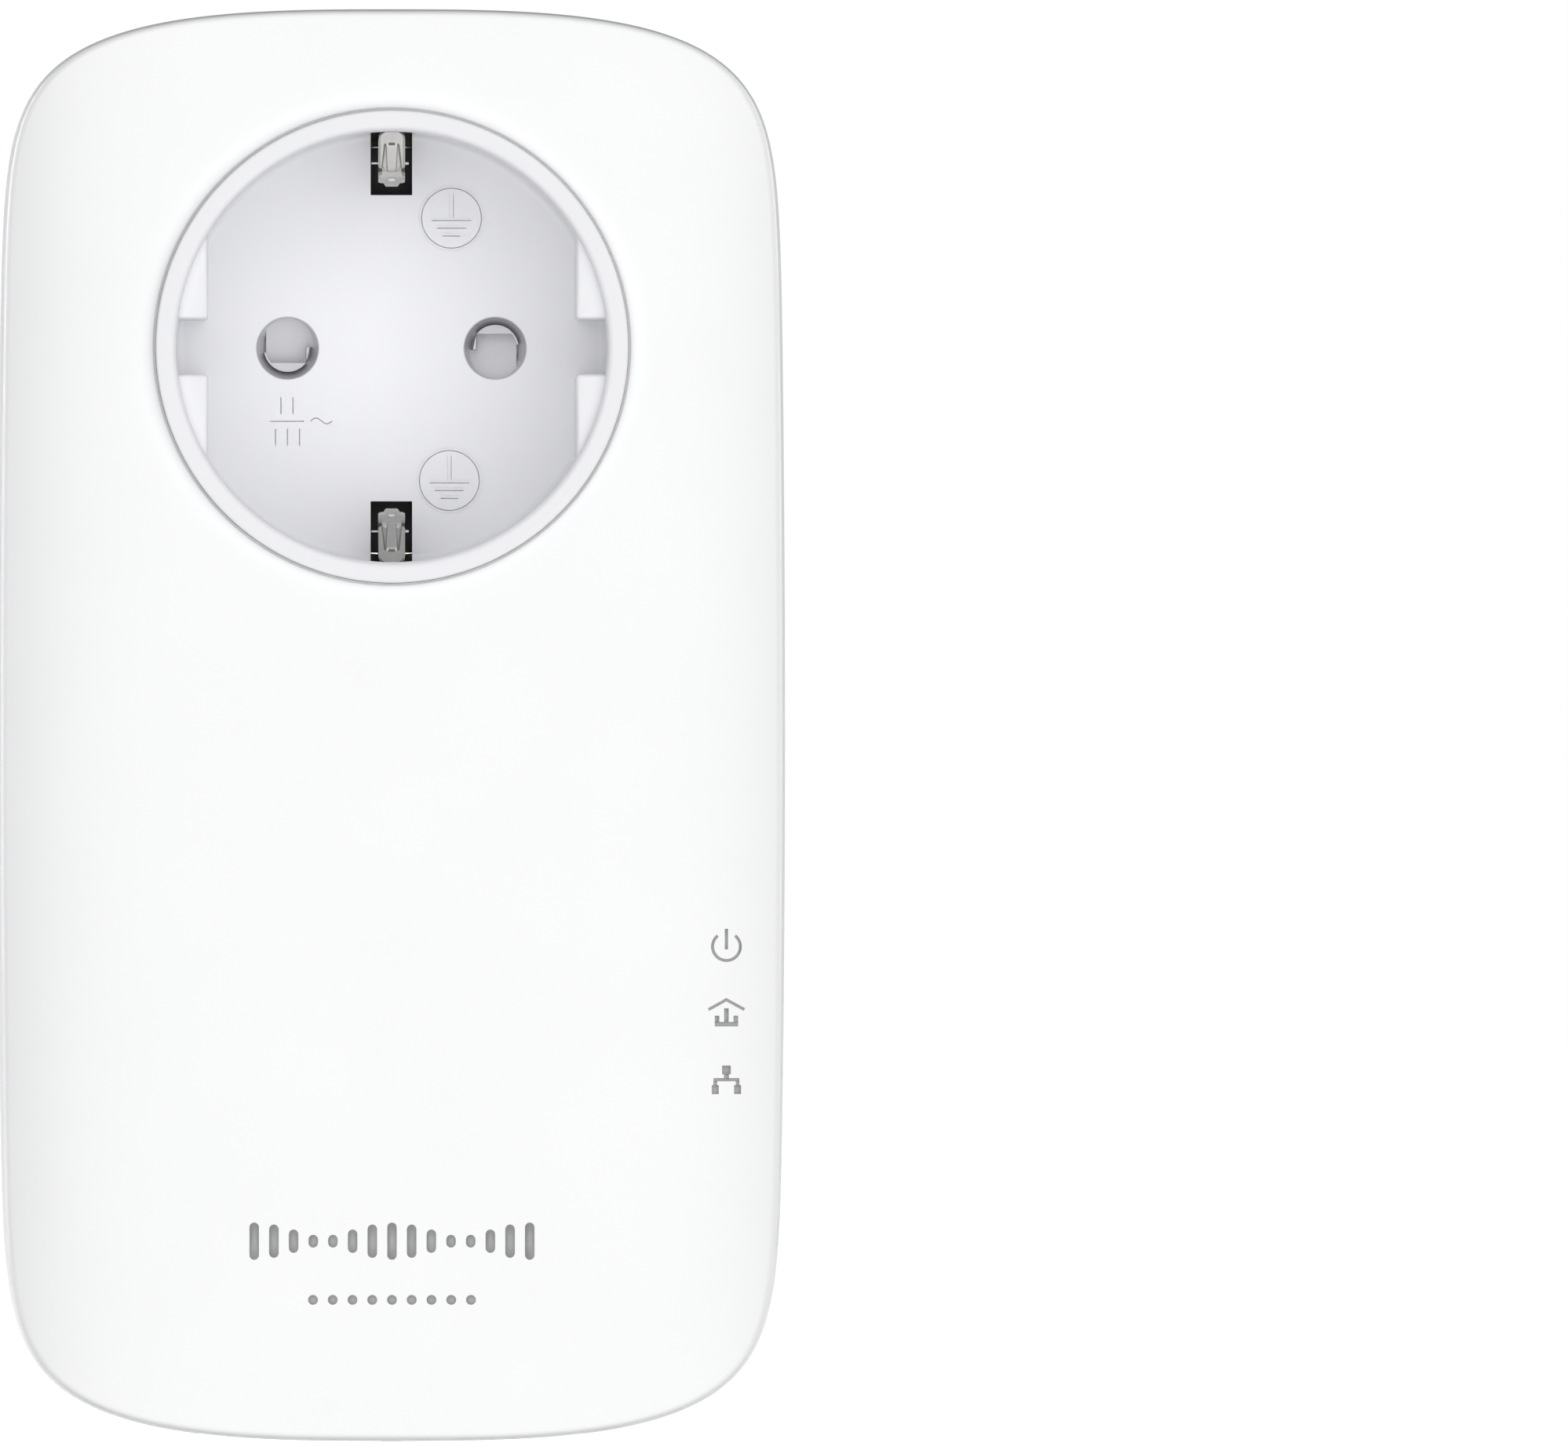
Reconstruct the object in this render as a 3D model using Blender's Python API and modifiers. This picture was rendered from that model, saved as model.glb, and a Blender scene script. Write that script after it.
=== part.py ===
"""Powerline network adapter with a pass-through mains socket.

Frame: +X to the right of someone facing the socket, +Y into the wall, +Z up. The origin is the middle of
the plug's end face, which meets the wall socket, so the plug pins point along +Y and the front faces -Y.
Lengths in this file are millimetres; MM turns them into Blender's metres when a shape is made.
"""

import math

import bmesh
import bpy
import numpy as np
from mathutils import Matrix, Vector

MM = 0.001

# Body outline: superellipse-like, full size at the parting line
HALF_HEIGHT = 65.5
SIDE_HALF = 35.2
SIDE_BULGE = 0.8
TOP_POWER = 12.8
CORNER_POWER = 2.96
BODY_MIDDLE_Z = -34.5
OUTLINE_STEPS = 60

# Depths along Y
RIM_Y = -59.0
COVER_Y = -58.3
PARTING_Y = -41.5
BACK_Y = -17.0
PLUG_FACE_Y = 0.0

# Shells
WALL = 2.0
GAP = 0.3
DOME_DEPTH = 5.0
DOME_POWER = 5.2
CROWN_DEPTH = 0.8
CROWN_POWER = 6.0
DOME_SHARES = (0.25, 0.48, 0.66, 0.80, 0.91, 1.0)
FRONT_INSET = 0.35
FRONT_EDGE_R = 0.6
CAVITY_EDGE = 0.5
BACK_TAPER = 1.2
BACK_EDGE_R = 3.0
VENT_COUNT = 7
VENT_TOP_Z = -36.0
VENT_PITCH = 4.0
VENT_HALF = 0.7
VENT_YS = (-35.5, -24.5)

# Socket
RECESS_R = 19.65
RIM_R = 21.55
FLOOR_Y = -41.5
FLOOR_THICK = 1.2
PIN_X = 9.5
SOCKET_HOLE_R = 2.825
BLOCK_X = 16.75
BLOCK_TOP_Y = -57.9
BLOCK_SLOT = 5.0
WINDOW_WIDTH = 3.75
WINDOW_INNER = 14.0
WINDOW_TOP_Y = -53.2
FLANGE_R = 23.2
FLANGE_YS = (-54.8, -53.7)
RIM_CHAMFER = 0.2
RIM_ROUND = 0.65
CLIP_HALF = 1.225
CLIP_THICK = 0.6
CLIP_ROOT = (-21.8, 19.2)
CLIP_PATH = [(-36.0, 19.2), (-41.2, 17.7), (-47.0, 15.2), (-48.3, 14.9), (-49.4, 15.6), (-52.3, 19.8)]

# Sleeves that grip an inserted plug's pins
SLEEVE_OUTER_R = 3.5
SLEEVE_INNER_R = 2.55
SLEEVE_YS = (-33.2, -24.6)
SLEEVE_GAP_DEGREES = 40
TAIL_HALF = 1.5
TAIL_YS = (-29.4, -28.6)
TAIL_TOP_Z = -2.85
FOOT_BELOW = 2.6
FOOT_THICK = 0.8

# Shutter
SHUTTER_R = 12.9
SHUTTER_Y = -39.95
SHUTTER_THICK = 2.6
SHUTTER_TURN = 36.0
AXLE_R = 1.9
RETAINER_R = 18.5
RETAINER_FRONT = -35.0
RETAINER_BACK = -33.6
RETAINER_HOLE_R = 3.1
SPRING_R = 3.2
SPRING_WIRE_R = 0.22
SPRING_TURNS = 2.25
SPRING_FRONT = -36.7
SPRING_BACK = -35.65
SPRING_STEPS = 27

# Plug
PIN_R = 2.4
PIN_LENGTH = 19.0
BOSS_R = 18.4
BOSS_FLAT_X = 16.3
BOSS_RIB = 4.6
BOSS_FLANGE_Y = -20.4
EARTH_HOLE_Z = 10.0
EARTH_HOLE_R = 2.5
BOSS_CHAMFER = 0.8
BOSS_FLANGE = 2.4
FLAT_REACH = 12.0
GROOVE_HALF = 3.3
GROOVE_ZS = (15.9, 21.5)
PIN_CLEARANCE = 0.35
PIN_TIP_R = 1.2
PIN_HEAD_R = 3.2
PIN_HEAD_YS = (-21.9, -20.75)
PLUG_CLIP_HALF = 2.7
PLUG_CLIP_THICK = 0.7
PLUG_CLIP_ROOT = (-21.3, 17.3)
PLUG_CLIP_PATH = [(-14.0, 17.3), (-9.0, 18.2), (-5.5, 18.3), (-1.8, 17.2)]
EARTH_SLEEVE_WALL = 0.35
EARTH_SLEEVE_YS = (-19.8, -1.2)

# Earth strap and busbars: ranges along X, Y and Z
EARTH_STRAP = ((-3.0, 3.0), (-22.4, -21.7), (-18.6, 18.6))
BUSBAR_HALF = 2.4
BUSBAR_YS = (-21.8, -21.0)
BUSBAR_ZS = (-26.0, -3.6)

# Boards
BOARD_THICK = 1.6
BOARD_HALF = 29.0
BOARD_TOP_Z = -26.4
BOARD_BOTTOM_Z = -94.0
BOARD_NOTCH_X = 21.5
BOARD_NOTCH_Z = -86.5
MAIN_BOARD_Y = -46.6
POWER_BOARD_Y = -22.8

# Parts on a board: range along X, height above the board, range along Z
PLC_CHIP = ((-13.0, 1.0), 1.3, (-54.0, -40.0))
SWITCH_CHIP = ((-8.0, 6.0), 1.1, (-80.0, -66.0))
MEMORY_CHIP = ((10.0, 19.0), 1.0, (-52.0, -42.0))
TRANSFORMER = ((-25.0, -9.0), 15.0, (-66.0, -48.0))
X_CAPACITOR = ((8.0, 26.0), 13.0, (-40.0, -31.0))
Y_CAPACITOR = ((-4.0, 4.0), 8.0, (-44.0, -41.0))
BRIDGE = ((-5.0, 5.0), 4.0, (-56.0, -48.0))
COUPLER = ((8.0, 20.0), 9.0, (-76.0, -66.0))

# Transformer winding, heatsink, and pieces that stand free of a board
WINDING_XS = (-23.5, -10.5)
WINDING_HEIGHTS = (2.0, 13.5)
WINDING_ZS = (-68.5, -45.5)
PAD_XS = (-12.5, 0.5)
PAD_ZS = (-53.5, -40.5)
PAD_THICK = 0.6
SINK_XS = (-18.0, 6.0)
SINK_ZS = (-60.0, -34.0)
SINK_THICK = 1.6
FIN_FRONT_Y = -54.4
FIN_COUNT = 7
FIN_HALF = 0.5
BULK_R = 5.4
BULK_CHAMFER = 0.4
BULK_XS = (8.0, 26.0)
BULK_ZS = (-45.6, -57.4)
BULK_HEIGHT = 5.6
FUSE_R = 2.0
FUSE_GLASS_R = 1.75
FUSE_XS = (-23.0, -11.0)
FUSE_CAP = 2.2
FUSE_STEP = 0.2
FUSE_Z = -30.4
FUSE_HEIGHT = 2.2
VARISTOR_X = -17.0
VARISTOR_R = 5.6
VARISTOR_HEIGHT = 6.2
VARISTOR_ZS = (-37.5, -33.9)
CHOKE_PLACE = (-0.5, -67.0)
CHOKE_R = 5.2
CHOKE_RING_R = 2.2
CHOKE_HEIGHT = 2.4
CONNECTOR_XS = (-26.5, -24.0)
CONNECTOR_ZS = (-84.0, -72.0)

# Network jacks
JACK_X = 9.3
JACK_WIDTH = 16.0
JACK_HEIGHT = 13.4
JACK_FACE_Z = -99.2
JACK_LENGTH = 21.0
JACK_CAVITY_WIDTH = 11.9
JACK_CAVITY_DEPTH = 14.0
JACK_CAVITY_HEIGHTS = (1.3, 9.4)
JACK_NOTCH_HALF = 3.1
JACK_NOTCH_HEIGHTS = (8.8, 11.6)
JACK_NOTCH_SHORTER = 2.0
JACK_CLEARANCE = 0.4
JACK_OPENING_ZS = (-104.0, -90.0)
MAGNETICS_HALF = 7.5
MAGNETICS_HEIGHT = 6.0
MAGNETICS_ZS = (-74.5, -67.5)
COMB_HALF = 4.4
COMB_RISE = 1.1
COMB_SETBACK = 0.75
COMB_BAR = (0.35, 0.45)
WIRE_COUNT = 8
WIRE_PITCH = 1.02
WIRE_SIZE = (0.45, 0.32, 7.6)
WIRE_LEAN = 7.0

# Controls and lights on the right side
SIDE_FEATURE_Y = -49.0
LIGHT_ZS = (-54.7, -60.8, -66.9)
PAIR_Z = -78.0
PAIR_FACE_X = 35.2
LIGHT_FACE_X = 35.4
RESET_X = 19.8
RESET_TIP_Z = -94.4
PINHOLE_R = 1.0
LIGHT_WINDOW = (0.9, 1.6)
LED_XS = (24.6, 27.4)
LED_HALF = (1.1, 1.0)
PIPE_BAR_XS = (30.4, 31.6)
PIPE_BAR_HALF = (0.9, 1.8)
PIPE_ARM_START = 27.8
PIPE_ARM_HALF = (0.55, 1.2)
PAIR_WINDOW = (4.3, 2.1)
PAIR_CAP = (4.0, 1.8)
PAIR_FLANGE = (5.2, 2.6)
PAIR_CAP_START = 32.0
PAIR_FLANGE_XS = (31.6, 33.0)
PAIR_STEM_XS = (29.9, 32.0)
PAIR_STEM_HALF = (0.8, 1.4)
PAIR_SWITCH_XS = (22.6, 28.0)
PAIR_SWITCH_HALF = (1.7, 3.0)
PAIR_BORE_XS = (26.2, 29.0)
PAIR_BORE_HALF = (1.0, 1.5)
PAIR_PLUNGER_XS = (27.1, 29.6)
PAIR_PLUNGER_HALF = (0.7, 1.2)
RESET_SWITCH_HALF = (1.5, 1.6)
RESET_SWITCH_ZS = (-92.6, -88.4)
RESET_BORE_HALF = 1.0
RESET_BORE_ZS = (-94.0, -90.6)
RESET_PLUNGER_HALF = 0.7
RESET_PLUNGER_END = -91.2

# Screws
SCREW_X = 26.0
SCREW_ZS = (21.0, -91.0)
POST_R = 3.0
POST_END_Y = -29.6
POST_START_Y = -55.9
POST_HOLE_R = 1.7
POST_HOLE_YS = (-40.0, -28.0)
TUBE_R = 3.8
HEAD_HOLE_R = 3.1
HEAD_HOLE_YS = (-26.5, -15.0)
SHANK_HOLE_R = 1.8
SHANK_HOLE_YS = (-32.0, -25.0)
HEAD_PROFILE = [(0, -24.4), (1.6, -24.5), (2.7, -25.4), (2.7, -26.2)]
SHANK_PROFILE = [(1.35, -26.2), (1.35, -37.4), (0, -38.4)]
CROSS_LONG = 1.4
CROSS_SHORT = 0.28
CROSS_YS = (-25.2, -23.0)

COLLECTION = "powerline_adapter"


# ---------------------------------------------------------------- scene and materials


def clear_scene():
    for obj in list(bpy.data.objects):
        bpy.data.objects.remove(obj)
    parts = bpy.data.collections.new(COLLECTION)
    cutters = bpy.data.collections.new("cutters")
    bpy.context.scene.collection.children.link(parts)
    bpy.context.scene.collection.children.link(cutters)
    return parts, cutters


def material(name, colour, roughness, metallic=0.0):
    found = bpy.data.materials.new(name)
    found.use_nodes = True
    shader = found.node_tree.nodes["Principled BSDF"]
    shader.inputs["Base Color"].default_value = (*colour, 1.0)
    shader.inputs["Roughness"].default_value = roughness
    shader.inputs["Metallic"].default_value = metallic
    found.diffuse_color = (*colour, 1.0)
    return found


PARTS, CUTTERS = clear_scene()
WHITE = material("white_plastic", (0.88, 0.89, 0.90), 0.38)
HOUSING_WHITE = material("housing_white", (0.70, 0.70, 0.72), 0.42)
SHUTTER_WHITE = material("shutter_white", (0.70, 0.69, 0.73), 0.45)
PLUG_WHITE = material("plug_white", (0.80, 0.80, 0.81), 0.45)
CLEAR = material("clear_plastic", (0.85, 0.88, 0.90), 0.12)
STEEL = material("spring_steel", (0.62, 0.62, 0.60), 0.30, 1.0)
NICKEL = material("nickel", (0.72, 0.70, 0.66), 0.25, 1.0)
BRASS = material("brass", (0.78, 0.60, 0.28), 0.32, 1.0)
BOARD_GREEN = material("board_green", (0.03, 0.20, 0.09), 0.40)
BLACK = material("black_plastic", (0.03, 0.03, 0.03), 0.50)
TIN = material("tinned_steel", (0.66, 0.67, 0.68), 0.33, 1.0)
ALUMINIUM = material("aluminium", (0.75, 0.76, 0.77), 0.35, 1.0)
PAD_BLUE = material("pad_blue", (0.25, 0.40, 0.60), 0.80)
FERRITE = material("ferrite", (0.10, 0.10, 0.11), 0.60)
SLEEVE_BLACK = material("capacitor_sleeve", (0.04, 0.05, 0.09), 0.35)
FILM_YELLOW = material("film_yellow", (0.80, 0.65, 0.10), 0.45)
CERAMIC_BLUE = material("ceramic_blue", (0.08, 0.22, 0.55), 0.45)
GLASSY = material("fuse_glass", (0.75, 0.78, 0.76), 0.10)


# ---------------------------------------------------------------- shape helpers


def add_object(name, mesh, paint=None, origin=(0, 0, 0), helper=False):
    """Put a mesh given in metres of the part's frame into the scene, with its origin at a point in mm."""
    place = Vector(origin) * MM
    mesh.transform(Matrix.Translation(-place))
    obj = bpy.data.objects.new(name, mesh)
    obj.location = place
    if helper:
        CUTTERS.objects.link(obj)
        obj.hide_render = True
        obj.display_type = "WIRE"
    else:
        PARTS.objects.link(obj)
        mesh.materials.append(paint)
    return obj


def finish(bm, name):
    bmesh.ops.recalc_face_normals(bm, faces=bm.faces)
    mesh = bpy.data.meshes.new(name)
    bm.to_mesh(mesh)
    bm.free()
    mesh.transform(Matrix.Scale(MM, 4))
    return mesh


def add_box(bm, xs, ys, zs):
    centre = Vector([(pair[0] + pair[1]) / 2 for pair in (xs, ys, zs)])
    size = Vector([abs(pair[1] - pair[0]) for pair in (xs, ys, zs)])
    place = Matrix.Translation(centre) @ Matrix.Diagonal((*size, 1))
    bmesh.ops.create_cube(bm, size=1, matrix=place)


AXIS_TURN = {
    "X": Matrix.Rotation(math.radians(90), 4, "Y"),
    "Y": Matrix.Rotation(math.radians(-90), 4, "X"),
    "Z": Matrix.Identity(4),
}


def add_rod(bm, axis, centre, radius, low, high, sides=24, end_radius=None):
    """Cylinder or cone along an axis; centre gives the two other coordinates in X, Y, Z order."""
    middle = (low + high) / 2
    spot = list(centre)
    spot.insert("XYZ".index(axis), middle)
    bmesh.ops.create_cone(
        bm,
        cap_ends=True,
        segments=sides,
        radius1=radius,
        radius2=radius if end_radius is None else end_radius,
        depth=high - low,
        matrix=Matrix.Translation(spot) @ AXIS_TURN[axis],
    )


def boxes_mesh(name, boxes):
    bm = bmesh.new()
    for xs, ys, zs in boxes:
        add_box(bm, xs, ys, zs)
    return finish(bm, name)


def rods_mesh(name, rods, sides=24):
    bm = bmesh.new()
    for axis, centre, radius, low, high in rods:
        add_rod(bm, axis, centre, radius, low, high, sides)
    return finish(bm, name)


def box_part(name, paint, xs, ys, zs, bevel=0.0, origin=(0, 0, 0)):
    obj = add_object(name, boxes_mesh(name, [(xs, ys, zs)]), paint, origin)
    if bevel:
        round_edges(obj, bevel)
    return obj


def round_edges(obj, width, segments=1):
    modifier = obj.modifiers.new("Bevel", "BEVEL")
    modifier.width = width * MM
    modifier.segments = segments
    modifier.limit_method = "ANGLE"


def combine(obj, mesh, operation):
    """Boolean with a helper mesh: UNION joins it, DIFFERENCE cuts it away."""
    helper = add_object(f"{obj.name}_{mesh.name}", mesh, helper=True)
    modifier = obj.modifiers.new(mesh.name, "BOOLEAN")
    modifier.operation = operation
    modifier.object = helper


def join(obj, mesh):
    combine(obj, mesh, "UNION")


def cut(obj, mesh):
    combine(obj, mesh, "DIFFERENCE")


def smooth(obj, degrees=35):
    obj.data.shade_smooth()
    obj.data.set_sharp_from_angle(angle=math.radians(degrees))


def turned(name, paint, profile, axis="Y", centre=(0, 0), steps=48, closed=True):
    """Turn a profile of (radius, height along the axis) points, listed down the outer side."""
    bm = bmesh.new()
    points = [bm.verts.new((r * MM, 0, h * MM)) for r, h in profile]
    for first, second in zip(points, points[1:]):
        bm.edges.new((first, second))
    if closed:
        bm.edges.new((points[-1], points[0]))
    mesh = bpy.data.meshes.new(name)
    bm.to_mesh(mesh)
    bm.free()
    spot = [value * MM for value in centre]
    spot.insert("XYZ".index(axis), 0)
    obj = add_object(name, mesh, paint)
    obj.matrix_world = Matrix.Translation(spot) @ AXIS_TURN[axis]
    modifier = obj.modifiers.new("Screw", "SCREW")
    modifier.axis = "Z"
    modifier.steps = steps
    modifier.render_steps = steps
    modifier.use_merge_vertices = True
    modifier.merge_threshold = 0.00001
    modifier.use_smooth_shade = True
    return obj


def flat_solid(name, outline, y_low, y_high):
    """Mesh of a flat outline of (x, z) points with straight sides along Y."""
    curve = bpy.data.curves.new(name, "CURVE")
    curve.dimensions = "2D"
    curve.fill_mode = "BOTH"
    curve.extrude = abs(y_high - y_low) / 2 * MM
    spline = curve.splines.new("POLY")
    spline.points.add(len(outline) - 1)
    for point, (x, z) in zip(spline.points, outline):
        point.co = (x * MM, z * MM, 0, 1)
    spline.use_cyclic_u = True
    obj = bpy.data.objects.new(name, curve)
    CUTTERS.objects.link(obj)
    middle = Vector((0, (y_low + y_high) / 2 * MM, 0))
    obj.matrix_world = Matrix.Translation(middle) @ Matrix.Rotation(math.radians(90), 4, "X")
    bpy.context.view_layer.update()
    graph = bpy.context.evaluated_depsgraph_get()
    mesh = bpy.data.meshes.new_from_object(obj.evaluated_get(graph))
    mesh.transform(obj.matrix_world)
    bpy.data.objects.remove(obj)
    bm = bmesh.new()
    bm.from_mesh(mesh)
    bmesh.ops.remove_doubles(bm, verts=bm.verts, dist=1e-6)
    bmesh.ops.recalc_face_normals(bm, faces=bm.faces)
    bm.to_mesh(mesh)
    bm.free()
    mesh.name = name
    mesh.materials.clear()
    return mesh


def strip(name, paint, path, x_low, x_high, thickness, origin=(0, 0, 0)):
    """Bent metal strip: a ribbon along (y, z) points, thickened on both sides."""
    bm = bmesh.new()
    left = [bm.verts.new((x_low, y, z)) for y, z in path]
    edges = [bm.edges.new(pair) for pair in zip(left, left[1:])]
    made = bmesh.ops.extrude_edge_only(bm, edges=edges)
    moved = [item for item in made["geom"] if isinstance(item, bmesh.types.BMVert)]
    bmesh.ops.translate(bm, verts=moved, vec=(x_high - x_low, 0, 0))
    obj = add_object(name, finish(bm, name), paint, origin)
    modifier = obj.modifiers.new("Solidify", "SOLIDIFY")
    modifier.thickness = thickness * MM
    modifier.offset = 0
    modifier.use_even_offset = True
    return obj


def arc(centre, radius, start, end, steps):
    """Points along an arc, angles in degrees."""
    angles = [math.radians(start + (end - start) * i / steps) for i in range(steps + 1)]
    return [(centre[0] + radius * math.cos(a), centre[1] + radius * math.sin(a)) for a in angles]


def rounded_slot(length, width, steps=6):
    """Outline of a slot with round ends, centred, lying along its first coordinate."""
    reach = (length - width) / 2
    right = arc((reach, 0), width / 2, -90, 90, steps)
    left = arc((-reach, 0), width / 2, 90, 270, steps)
    return right + left


# ---------------------------------------------------------------- body outline


def quarter_outline():
    """Finely spaced points from the middle of the right side to the middle of the top."""
    turn = np.linspace(0, 1, 4001) ** 6 * math.pi / 2
    share = np.sin(turn) ** (2 / TOP_POWER)
    x = SIDE_HALF * np.cos(turn) ** (2 / CORNER_POWER) + SIDE_BULGE * (1 - share**2)
    z = HALF_HEIGHT * share
    x[-1] = 0.0
    return x, z


def outline_and_normals(steps):
    """Outline points spaced by length and by bend, with their outward directions."""
    x, z = quarter_outline()
    dx, dz = np.gradient(x), np.gradient(z)
    length = np.concatenate([[0], np.cumsum(np.hypot(np.diff(x), np.diff(z)))])
    bend = np.unwrap(np.arctan2(dz, dx))
    bend = np.maximum.accumulate(bend - bend[0])
    measure = length / length[-1] + 2.0 * bend / bend[-1]
    wanted = np.linspace(0, measure[-1], steps // 4 + 1)
    px = np.interp(wanted, measure, x)
    pz = np.interp(wanted, measure, z)
    angle = np.interp(wanted, measure, np.arctan2(-dx, dz))
    angle[0] = 0.0
    angle[-1] = math.pi / 2
    quarter = list(zip(px, pz, angle))
    half = quarter + [(-a, b, math.pi - c) for a, b, c in reversed(quarter[:-1])]
    whole = half + [(a, -b, -c) for a, b, c in reversed(half[1:-1])]
    return [((a, b), (math.cos(c), math.sin(c))) for a, b, c in whole]


OUTLINE = outline_and_normals(OUTLINE_STEPS)


def outline(inset=0.0, share=1.0):
    """Outline moved inwards, then scaled towards its middle; z counts from the body's middle."""
    return [((x - inset * u) * share, (z - inset * v) * share) for (x, z), (u, v) in OUTLINE]


def cover_depth(x, z):
    """Y of the cover's outer face; z counts from the body's middle."""
    dome = DOME_DEPTH * (abs(x) / (SIDE_HALF + SIDE_BULGE)) ** DOME_POWER
    crown = CROWN_DEPTH * (abs(z) / HALF_HEIGHT) ** CROWN_POWER
    return COVER_Y + dome + crown


def skin(name, rings, ends):
    """Surface through rings of points that run from front to back, closed at the ends that are named."""
    bm = bmesh.new()
    loops = [[bm.verts.new((x, y, z + BODY_MIDDLE_Z)) for x, y, z in ring] for ring in rings]
    for front, back in zip(loops, loops[1:]):
        for i in range(len(front)):
            j = (i + 1) % len(front)
            bm.faces.new((front[i], back[i], back[j], front[j]))
    if "front" in ends:
        bm.faces.new(loops[0])
    if "back" in ends:
        bm.faces.new(loops[-1][::-1])
    mesh = bpy.data.meshes.new(name)
    bm.to_mesh(mesh)
    bm.free()
    mesh.transform(Matrix.Scale(MM, 4))
    return mesh


def dome_rings(inset, depth):
    """Rings over the domed front, at a depth below its face, out to the outline moved inwards."""
    return [[(x, cover_depth(x, z) + depth, z) for x, z in outline(inset, share)] for share in DOME_SHARES]


# ---------------------------------------------------------------- housing


def screw_places():
    return [(side * SCREW_X, z) for z in SCREW_ZS for side in (-1, 1)]


def jack_opening():
    """Openings for both jacks through the lower end, in both shells."""
    reach = JACK_WIDTH / 2 + JACK_CLEARANCE
    start = MAIN_BOARD_Y + BOARD_THICK + GAP
    ys = (start - JACK_CLEARANCE, start + JACK_HEIGHT + JACK_CLEARANCE)
    return [((x - reach, x + reach), ys, JACK_OPENING_ZS) for x in (-JACK_X, JACK_X)]


def cover_cavity():
    """Space inside the front cover, one wall smaller than its outside and open past its back edge."""
    rings = dome_rings(WALL + CAVITY_EDGE, WALL)
    corner = outline(WALL)
    rings.append([(x, cover_depth(x, z) + WALL + CAVITY_EDGE, z) for x, z in corner])
    rings.append([(x, PARTING_Y + 1, z) for x, z in corner])
    return skin("cover_cavity", rings, ("front", "back"))


def make_front_cover():
    rings = dome_rings(FRONT_INSET + FRONT_EDGE_R, 0)
    for degrees in (35, 90):
        angle = math.radians(degrees)
        inset = FRONT_INSET + FRONT_EDGE_R * (1 - math.sin(angle))
        drop = FRONT_EDGE_R * (1 - math.cos(angle))
        rings.append([(x, cover_depth(x, z) + drop, z) for x, z in outline(inset)])
    rings.append([(x, PARTING_Y - GAP / 2, z) for x, z in outline()])
    cover = add_object("front_cover", skin("front_cover", rings, ("front", "back")), WHITE)
    cut(cover, cover_cavity())
    posts = [("Y", place, POST_R, POST_START_Y, POST_END_Y) for place in screw_places()]
    join(cover, rods_mesh("posts", posts, 16))
    holes = [("Y", place, POST_HOLE_R, *POST_HOLE_YS) for place in screw_places()]
    cut(cover, rods_mesh("post_holes", holes, 12))
    cut(cover, rods_mesh("socket_hole", [("Y", (0, 0), RIM_R + GAP, -62, -50)], 48))
    cut(cover, boxes_mesh("jack_openings", jack_opening()))
    half_y, half_z = LIGHT_WINDOW
    ys = (SIDE_FEATURE_Y - half_y, SIDE_FEATURE_Y + half_y)
    windows = [((32, 40), ys, (z - half_z, z + half_z)) for z in LIGHT_ZS]
    cut(cover, boxes_mesh("light_windows", windows))
    cut(cover, pair_slot("pair_window", *PAIR_WINDOW, 32, 40))
    pinhole = [("Z", (RESET_X, SIDE_FEATURE_Y), PINHOLE_R, *JACK_OPENING_ZS)]
    cut(cover, rods_mesh("pinhole", pinhole, 16))
    smooth(cover)


def pair_slot(name, half_length, half_width, x_low, x_high):
    """Slot with round ends through the right side wall, long along Z."""
    slot = rounded_slot(2 * half_length, 2 * half_width)
    mesh = flat_solid(name, slot, x_low, x_high)
    mesh.transform(Matrix.Rotation(math.radians(-90), 4, "Z"))
    mesh.transform(Matrix.Rotation(math.radians(90), 4, "X"))
    mesh.transform(Matrix.Translation((0, SIDE_FEATURE_Y * MM, PAIR_Z * MM)))
    return mesh


def make_rear_housing():
    rings = [[(x, PARTING_Y + GAP / 2, z) for x, z in outline()]]
    rings.append([(x, BACK_Y - BACK_EDGE_R, z) for x, z in outline(BACK_TAPER)])
    for degrees in (30, 60, 90):
        angle = math.radians(degrees)
        inset = BACK_TAPER + BACK_EDGE_R * (1 - math.cos(angle))
        y = BACK_Y - BACK_EDGE_R * (1 - math.sin(angle))
        rings.append([(x, y, z) for x, z in outline(inset)])
    housing = add_object("rear_housing", skin("rear_housing", rings, ("back",)), HOUSING_WHITE)
    modifier = housing.modifiers.new("Solidify", "SOLIDIFY")
    modifier.thickness = WALL * MM
    modifier.offset = -1
    modifier.use_even_offset = True
    tubes = [("Y", place, TUBE_R, POST_END_Y + 0.4, BACK_Y - 0.6) for place in screw_places()]
    join(housing, rods_mesh("tubes", tubes, 20))
    heads = [("Y", place, HEAD_HOLE_R, *HEAD_HOLE_YS) for place in screw_places()]
    cut(housing, rods_mesh("head_holes", heads, 20))
    shanks = [("Y", place, SHANK_HOLE_R, *SHANK_HOLE_YS) for place in screw_places()]
    cut(housing, rods_mesh("shank_holes", shanks, 12))
    cut(housing, rods_mesh("plug_hole", [("Y", (0, 0), BOSS_R + 0.35, -21, -15)], 48))
    cut(housing, boxes_mesh("jack_openings", jack_opening()))
    vents = []
    for side in (-1, 1):
        for i in range(VENT_COUNT):
            z = VENT_TOP_Z - VENT_PITCH * i
            vents.append(((side * 32, side * 40), VENT_YS, (z - VENT_HALF, z + VENT_HALF)))
    cut(housing, boxes_mesh("vents", vents))
    smooth(housing)


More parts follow.
